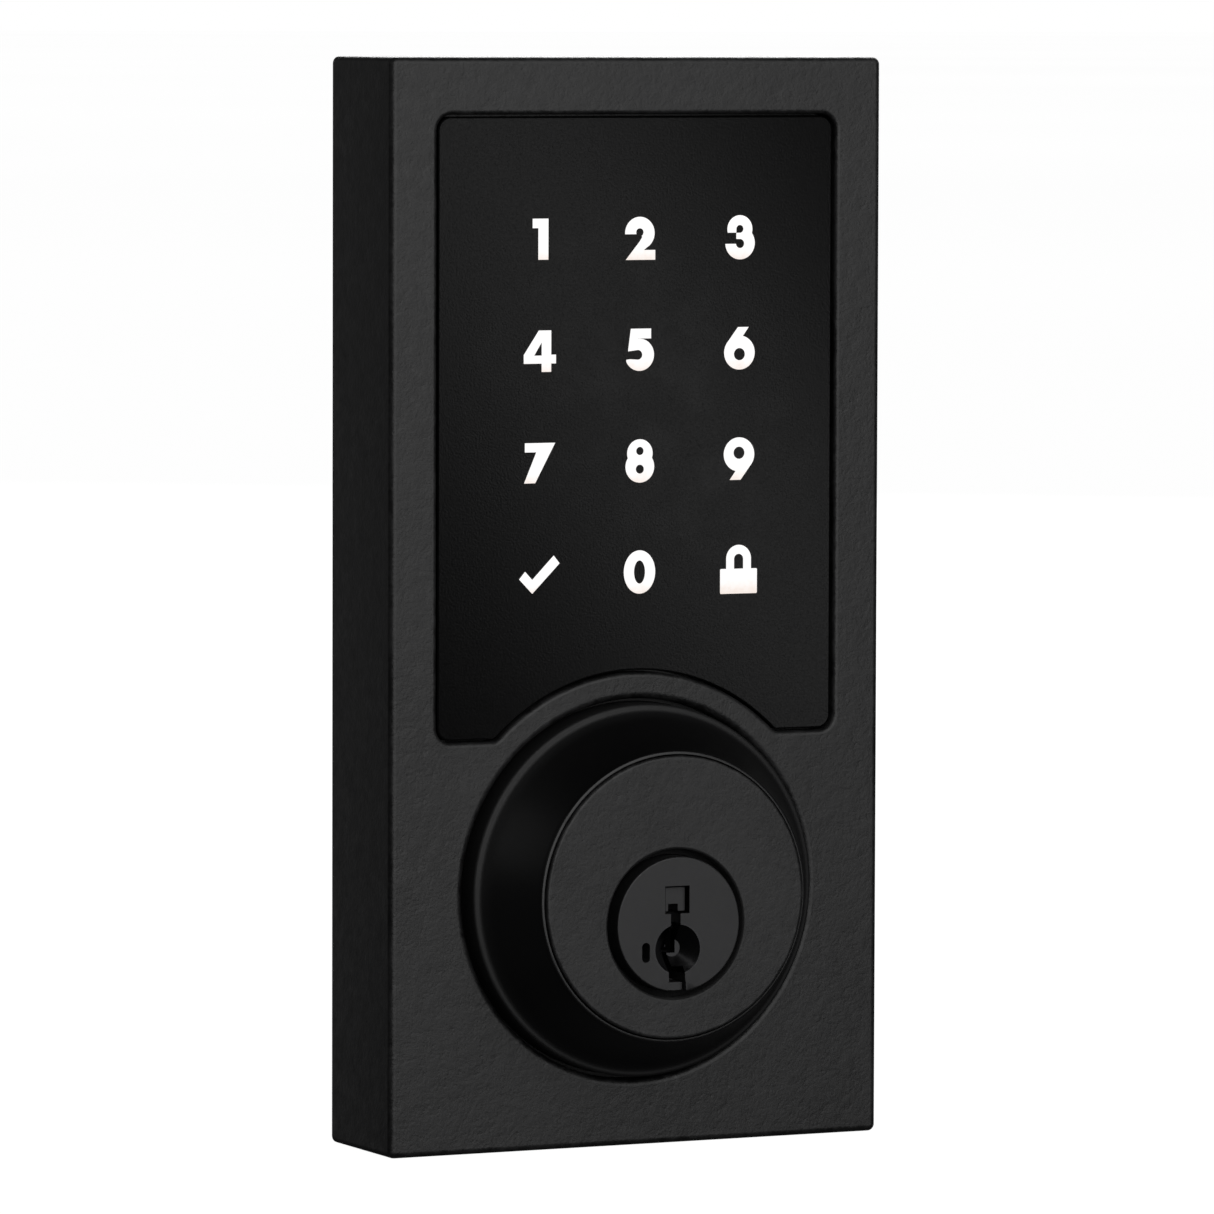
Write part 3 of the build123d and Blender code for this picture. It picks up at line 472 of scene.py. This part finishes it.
settle(shell.piece("guard_ring_collar", ring_coat.material), "ring_coat", "guard", "guard_ring")

# ---------------------------------------------------------------------------------------------
# Cylinder housing: an eccentric zinc body held to the back plate by three lugs. Its round face is
# coated with the case and stands in the guard ring. The key plug turns in its off-centre bore, at
# the foot of a shallow counterbore.
# ---------------------------------------------------------------------------------------------
house_back, house_front = extent("cylinder_housing")[4:]
face_r = 17.99
face_edge = 0.35
counterbore_r = 9.51
counterbore_depth = 2.2
counterbore_edge = 0.3
plug_bore_r = 8.67
barrel_r = 11.0
neck_r = 12.6
plate_front = 3.6
bearing_back = 12.37
bearing_front = 14.37
lug_r = 4.0
lug_bore = 1.5
lug_places = ((-13.0, 13.0), (13.0, 13.0), (0.0, -15.5))
rub_strength = 0.4
# How hard the painted shade in the counterbore's groove pushes its floor towards black and full roughness.
groove_painted_shade = 6.0


def face_rub_and_groove_shade(place):
    """Where a key's bow knocks the housing, less a painted shade that darkens the counterbore's groove floor to
    black.
    """
    x, y, z = place.split()
    rim = x.hypot(z - collar_z * MM).over((face_r - 0.9) * MM, (face_r - 0.1) * MM)
    near = x.hypot(z)
    # The groove floor inside the counterbore is painted dark, as shade where little light gets in.
    inside = 1.0 - near.over((counterbore_r + 0.05) * MM, (counterbore_r + 0.3) * MM)
    lip = (1.0 - near.over((counterbore_r + 0.3) * MM, (counterbore_r + 1.0) * MM)) * (1.0 - inside)
    broken = place.speckle(0.002, detail=4.0).over(0.45, 0.65)
    return rim.either(lip * rub_strength) * broken * rub_strength - inside * groove_painted_shade


face_coat = powder_coat("cylinder_powder_coat", (0.006, 0.006, 0.0062), (0.026, 0.026, 0.0264), 0.5, face_rub_and_groove_shade)
shell = Shell()
round_count = 192
outer = [shell.loop(circle(0, collar_z, face_r - inset, round_count), house_front - drop)
         for inset, drop in rolled(face_edge)]
outer.append(shell.loop(circle(0, collar_z, face_r - face_edge - support, round_count), house_front))
lip = [shell.loop(circle(0, 0, counterbore_r + grow, round_count), house_front - drop)
       for grow, drop in rolled(counterbore_edge)]
lip.append(shell.loop(circle(0, 0, counterbore_r + counterbore_edge + support, round_count), house_front))
floor_out = house_front - counterbore_depth
floor = [shell.loop(circle(0, 0, r, round_count), out)
         for r, out in ((counterbore_r, floor_out), (plug_bore_r + 0.1, floor_out), (plug_bore_r, floor_out - 0.1),
                        (plug_bore_r, house_back), (barrel_r, house_back), (barrel_r, plate_front),
                        (neck_r, plate_front), (neck_r, bearing_back))]
flange = [shell.loop(circle(0, collar_z, r, round_count), out)
          for r, out in ((flange_r, bearing_back), (flange_r, bearing_front), (face_r, bearing_front))]
shell.run(flange[1], flange[2], *outer)
shell.flat(outer[-1], lip[-1])
shell.run(*reversed(lip), *floor)
shell.flat(floor[-1], flange[0])
shell.run(flange[0], flange[1])
for x, z in lug_places:
    shell.lathe([(lug_r, plate_front), (lug_r, bearing_back), (lug_bore, bearing_back), (lug_bore, plate_front)],
                x, z, 40)
settle(shell.piece("cylinder_housing_casting", face_coat.material), "housing_coat", "lock_body", "cylinder_housing")


# ---------------------------------------------------------------------------------------------
# Key plug: turned steel with a satin dark finish, which the key's tip scratches round the keyway.
# It carries the tumblers, and two bright hardened inserts with a dished face straddle its keyway.
# ---------------------------------------------------------------------------------------------
def metal(name, dark, light, rough, grain=(1.0, 1.0, 1.0), metallic=1.0, scratch=0.0, depth=0.000006,
          spot=0.008, seam_shade=None):
    """Bare or plated metal: cloudy plating, machining grain that may run one way, scratches, and painted shade along
    seams.
    """
    made = Finish(name, Metallic=metallic)
    cloud = made.place.speckle(spot, detail=4.0)
    fine = made.place.stretch(*grain).speckle(0.0004, detail=3.0)
    marks = (1.0 - (made.place.stretch(1.0, 0.2, 3.0).speckle(0.0022, detail=2.0) - 0.5).size().over(0.0, 0.012)) * (
        made.place.speckle(0.004, detail=2.0).over(0.5, 0.65)) * scratch
    shade = cloud.over(0.3, 0.7) * 0.7 + fine * 0.3 + marks
    # A seam mask paints shade: it darkens the colour towards black in a band along a joint.
    if seam_shade:
        lowest = dark[0] / light[0]
        shade = (shade * (1.0 - lowest) + lowest) * (1.0 - seam_shade(made.place))
        dark = (0.0, 0.0, 0.0)
    made.feed(Base_Color=shade.tint(dark, light),
              Roughness=fine * 0.14 + cloud * 0.1 + (rough - 0.12) + marks * 0.1)
    return made.bump(fine * 0.6 + cloud * 0.2 + marks * 0.4, depth)


block_left, block_right, block_bottom, block_top = extent("upper_guard_block")[:4]
seam_out = 0.05
seam_half = 0.14


def block_seam_shade(place):
    """Painted shade in the joint round the upper insert: a dark band where the gap's shadow falls."""
    x, y, z = place.split()
    across = (x - (block_left + block_right) / 2 * MM).size() - (block_right - block_left) / 2 * MM
    along = (z - (block_bottom + block_top) / 2 * MM).size() - (block_top - block_bottom) / 2 * MM
    return 1.0 - (across.either(along) - seam_out * MM).size().over(seam_half * 0.7 * MM, seam_half * 1.3 * MM)


# The plug's satin steel has painted shade in a band round the upper insert.
plug_steel = metal("plug_satin", (0.052, 0.052, 0.053), (0.060, 0.060, 0.061), 0.52, metallic=0.9, scratch=0.3,
                   seam_shade=block_seam_shade)
black_steel = metal("hardened_black", (0.022, 0.022, 0.023), (0.040, 0.040, 0.041), 0.24, scratch=0.3)
pin_steel = metal("hardened_pin", (0.42, 0.42, 0.43), (0.62, 0.62, 0.63), 0.28, scratch=0.3)
turned_steel = metal("turned_steel", (0.40, 0.39, 0.38), (0.55, 0.54, 0.53), 0.34, (0.2, 3.0, 0.2))
spring_wire = metal("spring_wire", (0.35, 0.34, 0.33), (0.5, 0.49, 0.48), 0.3, (3.0, 3.0, 3.0))
brass = metal("brass_bar", (0.52, 0.37, 0.14), (0.68, 0.50, 0.22), 0.3, (0.3, 3.0, 0.3))
zinc_plate = metal("zinc_plated_sheet", (0.36, 0.37, 0.38), (0.55, 0.56, 0.57), 0.36, (0.4, 1.0, 4.0), scratch=0.5)
zinc_screw = metal("zinc_plated_screw", (0.30, 0.30, 0.29), (0.48, 0.48, 0.46), 0.32)
smoothed("plug", "key_plug_body", plug_steel.material, "key_plug", "plug_finish")
smoothed("drill_inserts", "drill_insert_pair", black_steel.material, "key_plug", "hardened_steel")
smoothed("upper_guard_block", "upper_guard_bar", plug_steel.material, "key_plug", "hardened_steel")
smoothed("lower_guard_block", "lower_guard_bar", plug_steel.material, "key_plug", "hardened_steel")
smoothed("spring_cover", "spring_cover_strip", spring_wire.material, "key_plug", "spring_steel")
smoothed("sidebar", "sidebar_bar", brass.material, "key_plug", "brass_bar")
smoothed("plug_clip", "plug_snap_clip", spring_wire.material, "key_plug", "spring_steel")
smoothed("blade_retainer", "blade_retaining_ring", turned_steel.material, "key_plug", "turned_steel")
smoothed("torque_blade", "torque_blade_bar", turned_steel.material, "blade", "turned_steel")

# ---------------------------------------------------------------------------------------------
# Tumblers: five hardened pins, each with a brass wafer on its neck, pressed down by a coil spring
# under the strip. Two smaller springs lie across the plug and push the sidebar outwards.
# ---------------------------------------------------------------------------------------------
for number in range(1, 6):
    smoothed(f"key_pin_{number}", f"key_pin_turned_{number}", pin_steel.material, f"tumbler_{number}",
             "hardened_steel")
    smoothed(f"wafer_{number}", f"wafer_stamped_{number}", brass.material, f"tumbler_{number}", "brass_bar")


class Recipe:
    """A Geometry Nodes tree with named inputs, run on a cloud of points and baked to a plain mesh."""

    def __init__(self, name, **inputs):
        self.tree = bpy.data.node_groups.new(name, "GeometryNodeTree")
        self.tree.interface.new_socket("Geometry", in_out="INPUT", socket_type="NodeSocketGeometry")
        self.keys = {}
        for label, kind in inputs.items():
            socket = self.tree.interface.new_socket(label, in_out="INPUT", socket_type="NodeSocket" + kind)
            self.keys[label] = socket.identifier
        self.tree.interface.new_socket("Geometry", in_out="OUTPUT", socket_type="NodeSocketGeometry")
        source = self.tree.nodes.new("NodeGroupInput")
        self.given = {socket.name: Wire(socket) for socket in source.outputs if socket.name}

    def serve(self, points, mesh):
        """Puts the mesh at every point, makes it real, gives it its material and sends it out."""
        placed = points.make("GeometryNodeInstanceOnPoints", None, {"Points": points, "Instance": mesh})
        real = placed.make("GeometryNodeRealizeInstances", None, {"Geometry": placed})
        painted = real.make("GeometryNodeSetMaterial", None, {"Geometry": real, "Material": self.given["Material"]})
        sink = self.tree.nodes.new("NodeGroupOutput")
        self.tree.links.new(painted.socket, sink.inputs[0])

    def bake(self, name, places, turn=None, sharp=35, **values):
        """Runs the tree on points in millimetres (x, out, z), then turns the result into a plain mesh."""
        seed = bpy.data.meshes.new(name + "_points")
        seed.from_pydata([(x * MM, -out * MM, z * MM) for x, out, z in places], [], [])
        holder = bpy.data.objects.new(name + "_points", seed)
        bpy.context.scene.collection.objects.link(holder)
        modifier = holder.modifiers.new("recipe", "NODES")
        modifier.node_group = self.tree
        for label, value in values.items():
            modifier[self.keys[label]] = value
        graph = bpy.context.evaluated_depsgraph_get()
        mesh = bpy.data.meshes.new_from_object(holder.evaluated_get(graph), depsgraph=graph)
        holder.modifiers.clear()
        bpy.data.objects.remove(holder)
        bpy.data.meshes.remove(seed)
        bm = bmesh.new()
        bm.from_mesh(mesh)
        bmesh.ops.recalc_face_normals(bm, faces=bm.faces)
        bm.to_mesh(mesh)
        bm.free()
        mesh.name = name
        return finished(name, mesh, values["Material"], sharp)


def coil_recipe():
    """A coil spring of round wire, standing up from its point, or lying along X when laid over."""
    made = Recipe("coil_spring", Radius="Float", Wire="Float", Height="Float", Turns="Float", Lean="Rotation",
                  Material="Material")
    given = made.given
    path = given["Radius"].make("GeometryNodeCurveSpiral", None, {
        "Resolution": 28, "Rotations": given["Turns"], "Start Radius": given["Radius"],
        "End Radius": given["Radius"], "Height": given["Height"]})
    section = path.make("GeometryNodeCurvePrimitiveCircle", None, {"Resolution": 10, "Radius": given["Wire"]})
    skin = path.make("GeometryNodeCurveToMesh", None,
                     {"Curve": path, "Profile Curve": section, "Fill Caps": True})
    turned = skin.make("GeometryNodeTransform", None, {"Geometry": skin, "Rotation": given["Lean"]})
    made.serve(given["Geometry"], turned)
    return made


coil = coil_recipe()
pin_x = -0.42
pin_high = 3.42
spring_top = 7.0
spring_length = spring_top - pin_high - 0.24
for number in range(1, 6):
    low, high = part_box(f"tumbler_spring_{number}")
    middle_out = -(low[1] + high[1]) / 2 / MM
    spring = coil.bake(f"tumbler_coil_{number}", [(pin_x, middle_out, low[2] / MM + 0.1)], Radius=1.15 * MM,
                       Wire=0.1 * MM, Height=spring_length * MM, Turns=5.0, Material=spring_wire.material)
    settle(spring, "spring_steel", "key_plug", f"tumbler_spring_{number}")
    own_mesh(spring)

side_left, side_right = extent("sidebar_springs")[:2]
side_back, side_front = extent("sidebar_springs")[4:]
side_places = [(side_left + 0.075, out, 0.0) for out in (side_back + 0.575, side_front - 0.575)]
side_springs = coil.bake("sidebar_coils", side_places, Radius=0.5 * MM, Wire=0.075 * MM,
                         Height=(side_right - side_left - 0.15) * MM, Turns=5.0, Lean=(0, pi / 2, 0),
                         Material=spring_wire.material)
settle(side_springs, "spring_steel", "key_plug", "sidebar_springs")

# ---------------------------------------------------------------------------------------------
# Screws: zinc-plated steel with a cross recess. Four hold the back plate to the case's bosses,
# three hold the cylinder's lugs to the plate, and six pan heads clamp the board stack to the lens.
# ---------------------------------------------------------------------------------------------


def screw_recipe():
    """A screw pointing out from its point, its head's face on the point. The thread is a true helix."""
    made = Recipe("cross_screw", Head="Float", Cone="Float", Rim="Float", Shank="Float", Length="Float",
                  Pitch="Float", Cross="Float", Material="Material")
    given = made.given
    head, cone, rim, shank = given["Head"], given["Cone"], given["Rim"], given["Shank"]
    length, pitch = given["Length"], given["Pitch"]
    around, along = 33, 96
    sheet = head.make("GeometryNodeMeshGrid", None,
                      {"Size X": 1.0, "Size Y": 1.0, "Vertices X": around, "Vertices Y": along})
    u, v, flat = head.make("GeometryNodeInputPosition").split()
    angle = (u + 0.5) * (2 * pi)
    place = v + 0.5
    rise = place.over_straight(0.08, 0.97) * length
    face = place.over_straight(0.0, 0.07)
    thread = ((rise - angle * (1 / (2 * pi)) * pitch) / pitch).fraction()
    ridge = (thread - 0.5).size() * 2.0
    below = rise.over_step(cone + rim)
    tip = 1.0 - place.over_straight(0.90, 0.97) * 0.5
    root = shank * (1.0 - (1.0 - ridge) * 0.16 * below) * tip
    slope = (rise - rim) / cone
    headed = head + (shank - head) * slope.maths("MAXIMUM", slope, 0.0)
    outline = root.either(headed) * face
    closing = 1.0 - place.over_straight(0.975, 1.0)
    radius = outline * closing
    x = radius * angle.maths("COSINE", angle)
    z = radius * angle.maths("SINE", angle)
    spot = x.make("ShaderNodeCombineXYZ", None, {"X": x, "Y": 0.0 - rise, "Z": z})
    turned = sheet.make("GeometryNodeSetPosition", None, {"Geometry": sheet, "Position": spot})
    welded = turned.make("GeometryNodeMergeByDistance", None, {"Geometry": turned, "Distance": 0.000002})
    wide, thin, deep = head * 1.1, shank * 0.4, given["Cross"] * 2.0
    arms = []
    for first, second in ((wide, thin), (thin, wide)):
        size = first.make("ShaderNodeCombineXYZ", None, {"X": first, "Y": deep, "Z": second})
        arms.append(size.make("GeometryNodeMeshCube", None, {"Size": size}))
    cut = self_join(arms)
    recessed = welded.make("GeometryNodeMeshBoolean", {"operation": "DIFFERENCE", "solver": "EXACT"},
                           {"Mesh 1": welded, "Mesh 2": cut})
    made.serve(given["Geometry"], recessed)
    return made


def self_join(parts):
    """Both arms of the cross as one mesh."""
    node = parts[0].socket.id_data.nodes.new("GeometryNodeMeshBoolean")
    node.operation = "UNION"
    node.solver = "EXACT"
    for part in parts:
        part.socket.id_data.links.new(part.socket, node.inputs["Mesh 2"])
    return Wire(node.outputs["Mesh"])


screws = screw_recipe()
plate_back = 2.0
boss_places = [(x, plate_back, z) for x, z in corners]
case_screws = screws.bake("case_screws", boss_places, Head=2.4 * MM, Cone=1.15 * MM, Rim=0.01 * MM, Shank=1.25 * MM,
                          Length=9.1 * MM, Pitch=0.6 * MM, Cross=0.8 * MM, Material=zinc_screw.material)
settle(case_screws, "zinc_screw", "lock_body", "back_plate_screws")
lug_screws = screws.bake("lug_screws", [(x, plate_back, z) for x, z in lug_places], Head=2.9 * MM, Cone=1.4 * MM,
                         Rim=0.01 * MM, Shank=1.5 * MM, Length=7.6 * MM, Pitch=0.7 * MM, Cross=1.0 * MM,
                         Material=zinc_screw.material)
settle(lug_screws, "zinc_screw", "lock_body", "cylinder_screws")
stack_right, stack_bottom, stack_top, stack_back, stack_front = extent("stack_screws")[1:]
stack_x = stack_right - 1.9
stack_places = [(x, stack_back, z) for z in (stack_bottom + 1.9, (stack_bottom + stack_top) / 2, stack_top - 1.9)
                for x in (-stack_x, stack_x)]
pan_screws = screws.bake("stack_screws_pan", stack_places, Head=1.9 * MM, Cone=0.02 * MM, Rim=1.18 * MM,
                         Shank=1.0 * MM, Length=(stack_front - stack_back) * MM, Pitch=0.45 * MM, Cross=0.6 * MM,
                         Material=zinc_screw.material)
settle(pan_screws, "zinc_screw", "lock_body", "stack_screws")

# ---------------------------------------------------------------------------------------------
# Back of the lock: a zinc-plated steel plate with two threaded posts for the through bolts, a
# rubber grommet for the cable, and a sponge rubber gasket that seals the lock to the door.
# ---------------------------------------------------------------------------------------------


def rubber(name, dark, light, pore):
    """Moulded or sponge rubber: even black with a bloom of chalk and a fine open skin."""
    made = Finish(name, Specular_IOR_Level=0.3)
    bloom = made.place.speckle(0.011, detail=4.0)
    cells = made.place.speckle(pore, detail=3.0)
    made.feed(Base_Color=(bloom.over(0.35, 0.75) * 0.6 + cells * 0.4).tint(dark, light),
              Roughness=cells * 0.2 + 0.68)
    return made.bump(cells, pore * 0.15)


gasket_rubber = rubber("gasket_sponge", (0.014, 0.014, 0.014), (0.032, 0.032, 0.031), 0.0006)
moulded_rubber = rubber("grommet_rubber", (0.012, 0.012, 0.012), (0.022, 0.022, 0.022), 0.0002)
smoothed("back_plate", "back_plate_sheet", zinc_plate.material, "lock_body", "zinc_plate")
smoothed("mounting_posts", "mounting_post_pair", turned_steel.material, "lock_body", "turned_steel")
smoothed("door_gasket", "door_gasket_sheet", gasket_rubber.material, "lock_body", "gasket_rubber")
smoothed("cable_grommet", "cable_grommet_ring", moulded_rubber.material, "lock_body", "gasket_rubber")


# ---------------------------------------------------------------------------------------------
# Electronics behind the lens: a white light guide, the touch board with its lamps and chips, and
# a black moulded cover that closes the stack. A nylon washer lies under the guard ring.
# ---------------------------------------------------------------------------------------------
def moulding(name, dark, light, rough, **constants):
    """Moulded plastic: faint flow clouding and a light spark-eroded skin."""
    made = Finish(name, **constants)
    flow = made.place.stretch(1.0, 1.0, 0.4).speckle(0.010, detail=2.0)
    skin = made.place.speckle(0.00035, detail=2.0)
    made.feed(Base_Color=(flow * 0.7 + skin * 0.3).tint(dark, light), Roughness=skin * 0.14 + (rough - 0.07))
    return made.bump(skin, 0.000006)


white_moulding = moulding("white_guide", (0.72, 0.71, 0.68), (0.82, 0.81, 0.79), 0.45)
nylon = moulding("nylon_washer", (0.66, 0.64, 0.58), (0.76, 0.74, 0.69), 0.4, Subsurface_Weight=0.1)
cover_moulding = moulding("cover_black", (0.013, 0.013, 0.014), (0.022, 0.022, 0.023), 0.5)
chip_body = moulding("chip_epoxy", (0.015, 0.015, 0.015), (0.028, 0.028, 0.028), 0.6)
header_body = moulding("header_nylon", (0.60, 0.58, 0.50), (0.72, 0.70, 0.62), 0.45)
lamp = moulding("lamp_phosphor", (0.80, 0.72, 0.30), (0.88, 0.80, 0.40), 0.35)
tape_black = moulding("tape_foam", (0.012, 0.012, 0.012), (0.02, 0.02, 0.02), 0.8)
circuit = Finish("circuit_board", Coat_Roughness=0.2)
x, y, z = circuit.place.split()
track_across = 700.0
track_along = 500.0
track = (x.maths("SINE", x * track_across) * z.maths("SINE", z * track_along)).over(0.55, 0.6)
weave = circuit.place.speckle(0.0009, detail=2.0)
circuit.feed(Base_Color=(track * 0.6 + weave * 0.4).tint((0.004, 0.035, 0.016), (0.010, 0.085, 0.04)),
             Roughness=weave * 0.15 + 0.3 + track * 0.1)
circuit.bump(track * 0.8 + weave * 0.2, 0.00002)
for node, name, finish, slot in (
        ("light_guide", "light_guide_frame", white_moulding, "white_moulding"),
        ("touch_board", "touch_board_sheet", circuit, "circuit_board"),
        ("key_leds", "key_lamps", lamp, "lamp"),
        ("board_chips", "board_chip_set", chip_body, "chip_body"),
        ("sounder", "sounder_can", chip_body, "chip_body"),
        ("cable_header", "cable_header_shroud", header_body, "header_body"),
        ("board_cover", "board_cover_tray", cover_moulding, "cover_moulding"),
        ("lens_tape", "lens_tape_frame", tape_black, "tape"),
        ("thrust_washer", "thrust_washer_ring", nylon, "nylon")):
    smoothed(node, name, finish.material, "lock_body", slot)

# ---------------------------------------------------------------------------------------------
# Studio: a plain pale floor that runs back to the horizon, softboxes at the front, the left and
# the rear, and the camera. The touch lens has a band of light of its own, and the key misses it.
# ---------------------------------------------------------------------------------------------
floor_z = case_bottom * MM
floor_reach = 40.0
floor_mesh = bpy.data.meshes.new("studio_floor")
floor_mesh.from_pydata([(x, y, floor_z) for x, y in ((-floor_reach, -floor_reach), (floor_reach, -floor_reach),
                                                     (floor_reach, floor_reach), (-floor_reach, floor_reach))],
                       [], [(0, 1, 2, 3)])
pale = Finish("pale_floor", Roughness=0.9, Specular_IOR_Level=0.0, Emission_Strength=1.0)
wash = pale.place.speckle(3.0, detail=1.0)
pale.feed(Base_Color=wash.tint((0.10, 0.10, 0.10), (0.11, 0.11, 0.11)),
          Emission_Color=wash.tint((0.97, 0.97, 0.97), (1.0, 1.0, 1.0)))
floor_mesh.materials.append(pale.material)
studio_floor = bpy.data.objects.new("studio_floor", floor_mesh)
bpy.context.scene.collection.objects.link(studio_floor)
studio_floor.visible_diffuse = False
studio_floor.visible_glossy = False

world = bpy.data.worlds.new("studio")
world.use_nodes = True
bpy.context.scene.world = world
sky = world.node_tree.nodes["Background"]
path_kind = world.node_tree.nodes.new("ShaderNodeLightPath")
seen = Wire(path_kind.outputs["Is Camera Ray"])
dim_sky = (0.036, 0.036, 0.037)
world.node_tree.links.new(seen.tint(dim_sky, (1.0, 1.0, 1.0)).socket, sky.inputs["Color"])


def softbox(name, place, aim, size, watts, turn=0.0):
    """A soft rectangular light aimed at a point and turned about its own axis. Millimetres."""
    light = bpy.data.lights.new(name, "AREA")
    light.shape = "RECTANGLE"
    light.size, light.size_y = size[0] * MM, size[1] * MM
    light.energy = watts
    held = bpy.data.objects.new(name, light)
    held.location = Vector(place) * MM
    aimed = (Vector(aim) - Vector(place)).to_track_quat("-Z", "Y").to_matrix()
    held.rotation_euler = (aimed @ Matrix.Rotation(radians(turn), 3, "Z")).to_euler()
    bpy.context.scene.collection.objects.link(held)
    return held


def only_for(light, collection, pieces, state):
    """Links a light to these pieces alone, or to all but these."""
    group = bpy.data.collections.new(collection)
    for piece in pieces:
        group.objects.link(piece)
    light.light_linking.receiver_collection = group
    for held in group.collection_objects:
        held.light_linking.link_state = state


middle = (0, -18, 45)
key = softbox("key_light", (10, -640, 235), middle, (820, 820), 3.6)
only_for(key, "not_lens", [lens_piece], "EXCLUDE")
band = softbox("lens_band", (246, -520, 44), (0, -18, 62), (50, 250), 0.036, 34.0)
only_for(band, "lens_alone", [lens_piece], "INCLUDE")
softbox("back_light", (-645, 1350, 130), middle, (900, 1200), 0.46)
softbox("rear_box", (760, 980, 560), middle, (900, 900), 14.0)
softbox("left_box", (-880, -40, 430), (0, -25, 5), (560, 520), 0.195)

camera_place = Vector((-484.84, -1023.40, 116.23)) * MM
camera_ahead = Vector((0.43046, 0.90000, -0.06865)).normalized()
camera_roll = radians(0.17)
lens_length = 260.1
camera_data = bpy.data.cameras.new("camera")
camera_data.lens = lens_length
camera_data.sensor_width = 36.0
camera_data.clip_end = 200.0
camera = bpy.data.objects.new("camera", camera_data)
camera.rotation_euler = (camera_ahead.to_track_quat("-Z", "Y").to_matrix() @ Matrix.Rotation(
    camera_roll, 3, "Z")).to_euler()
camera.location = camera_place
bpy.context.scene.collection.objects.link(camera)
bpy.context.scene.camera = camera
bpy.context.scene.view_settings.view_transform = "Standard"
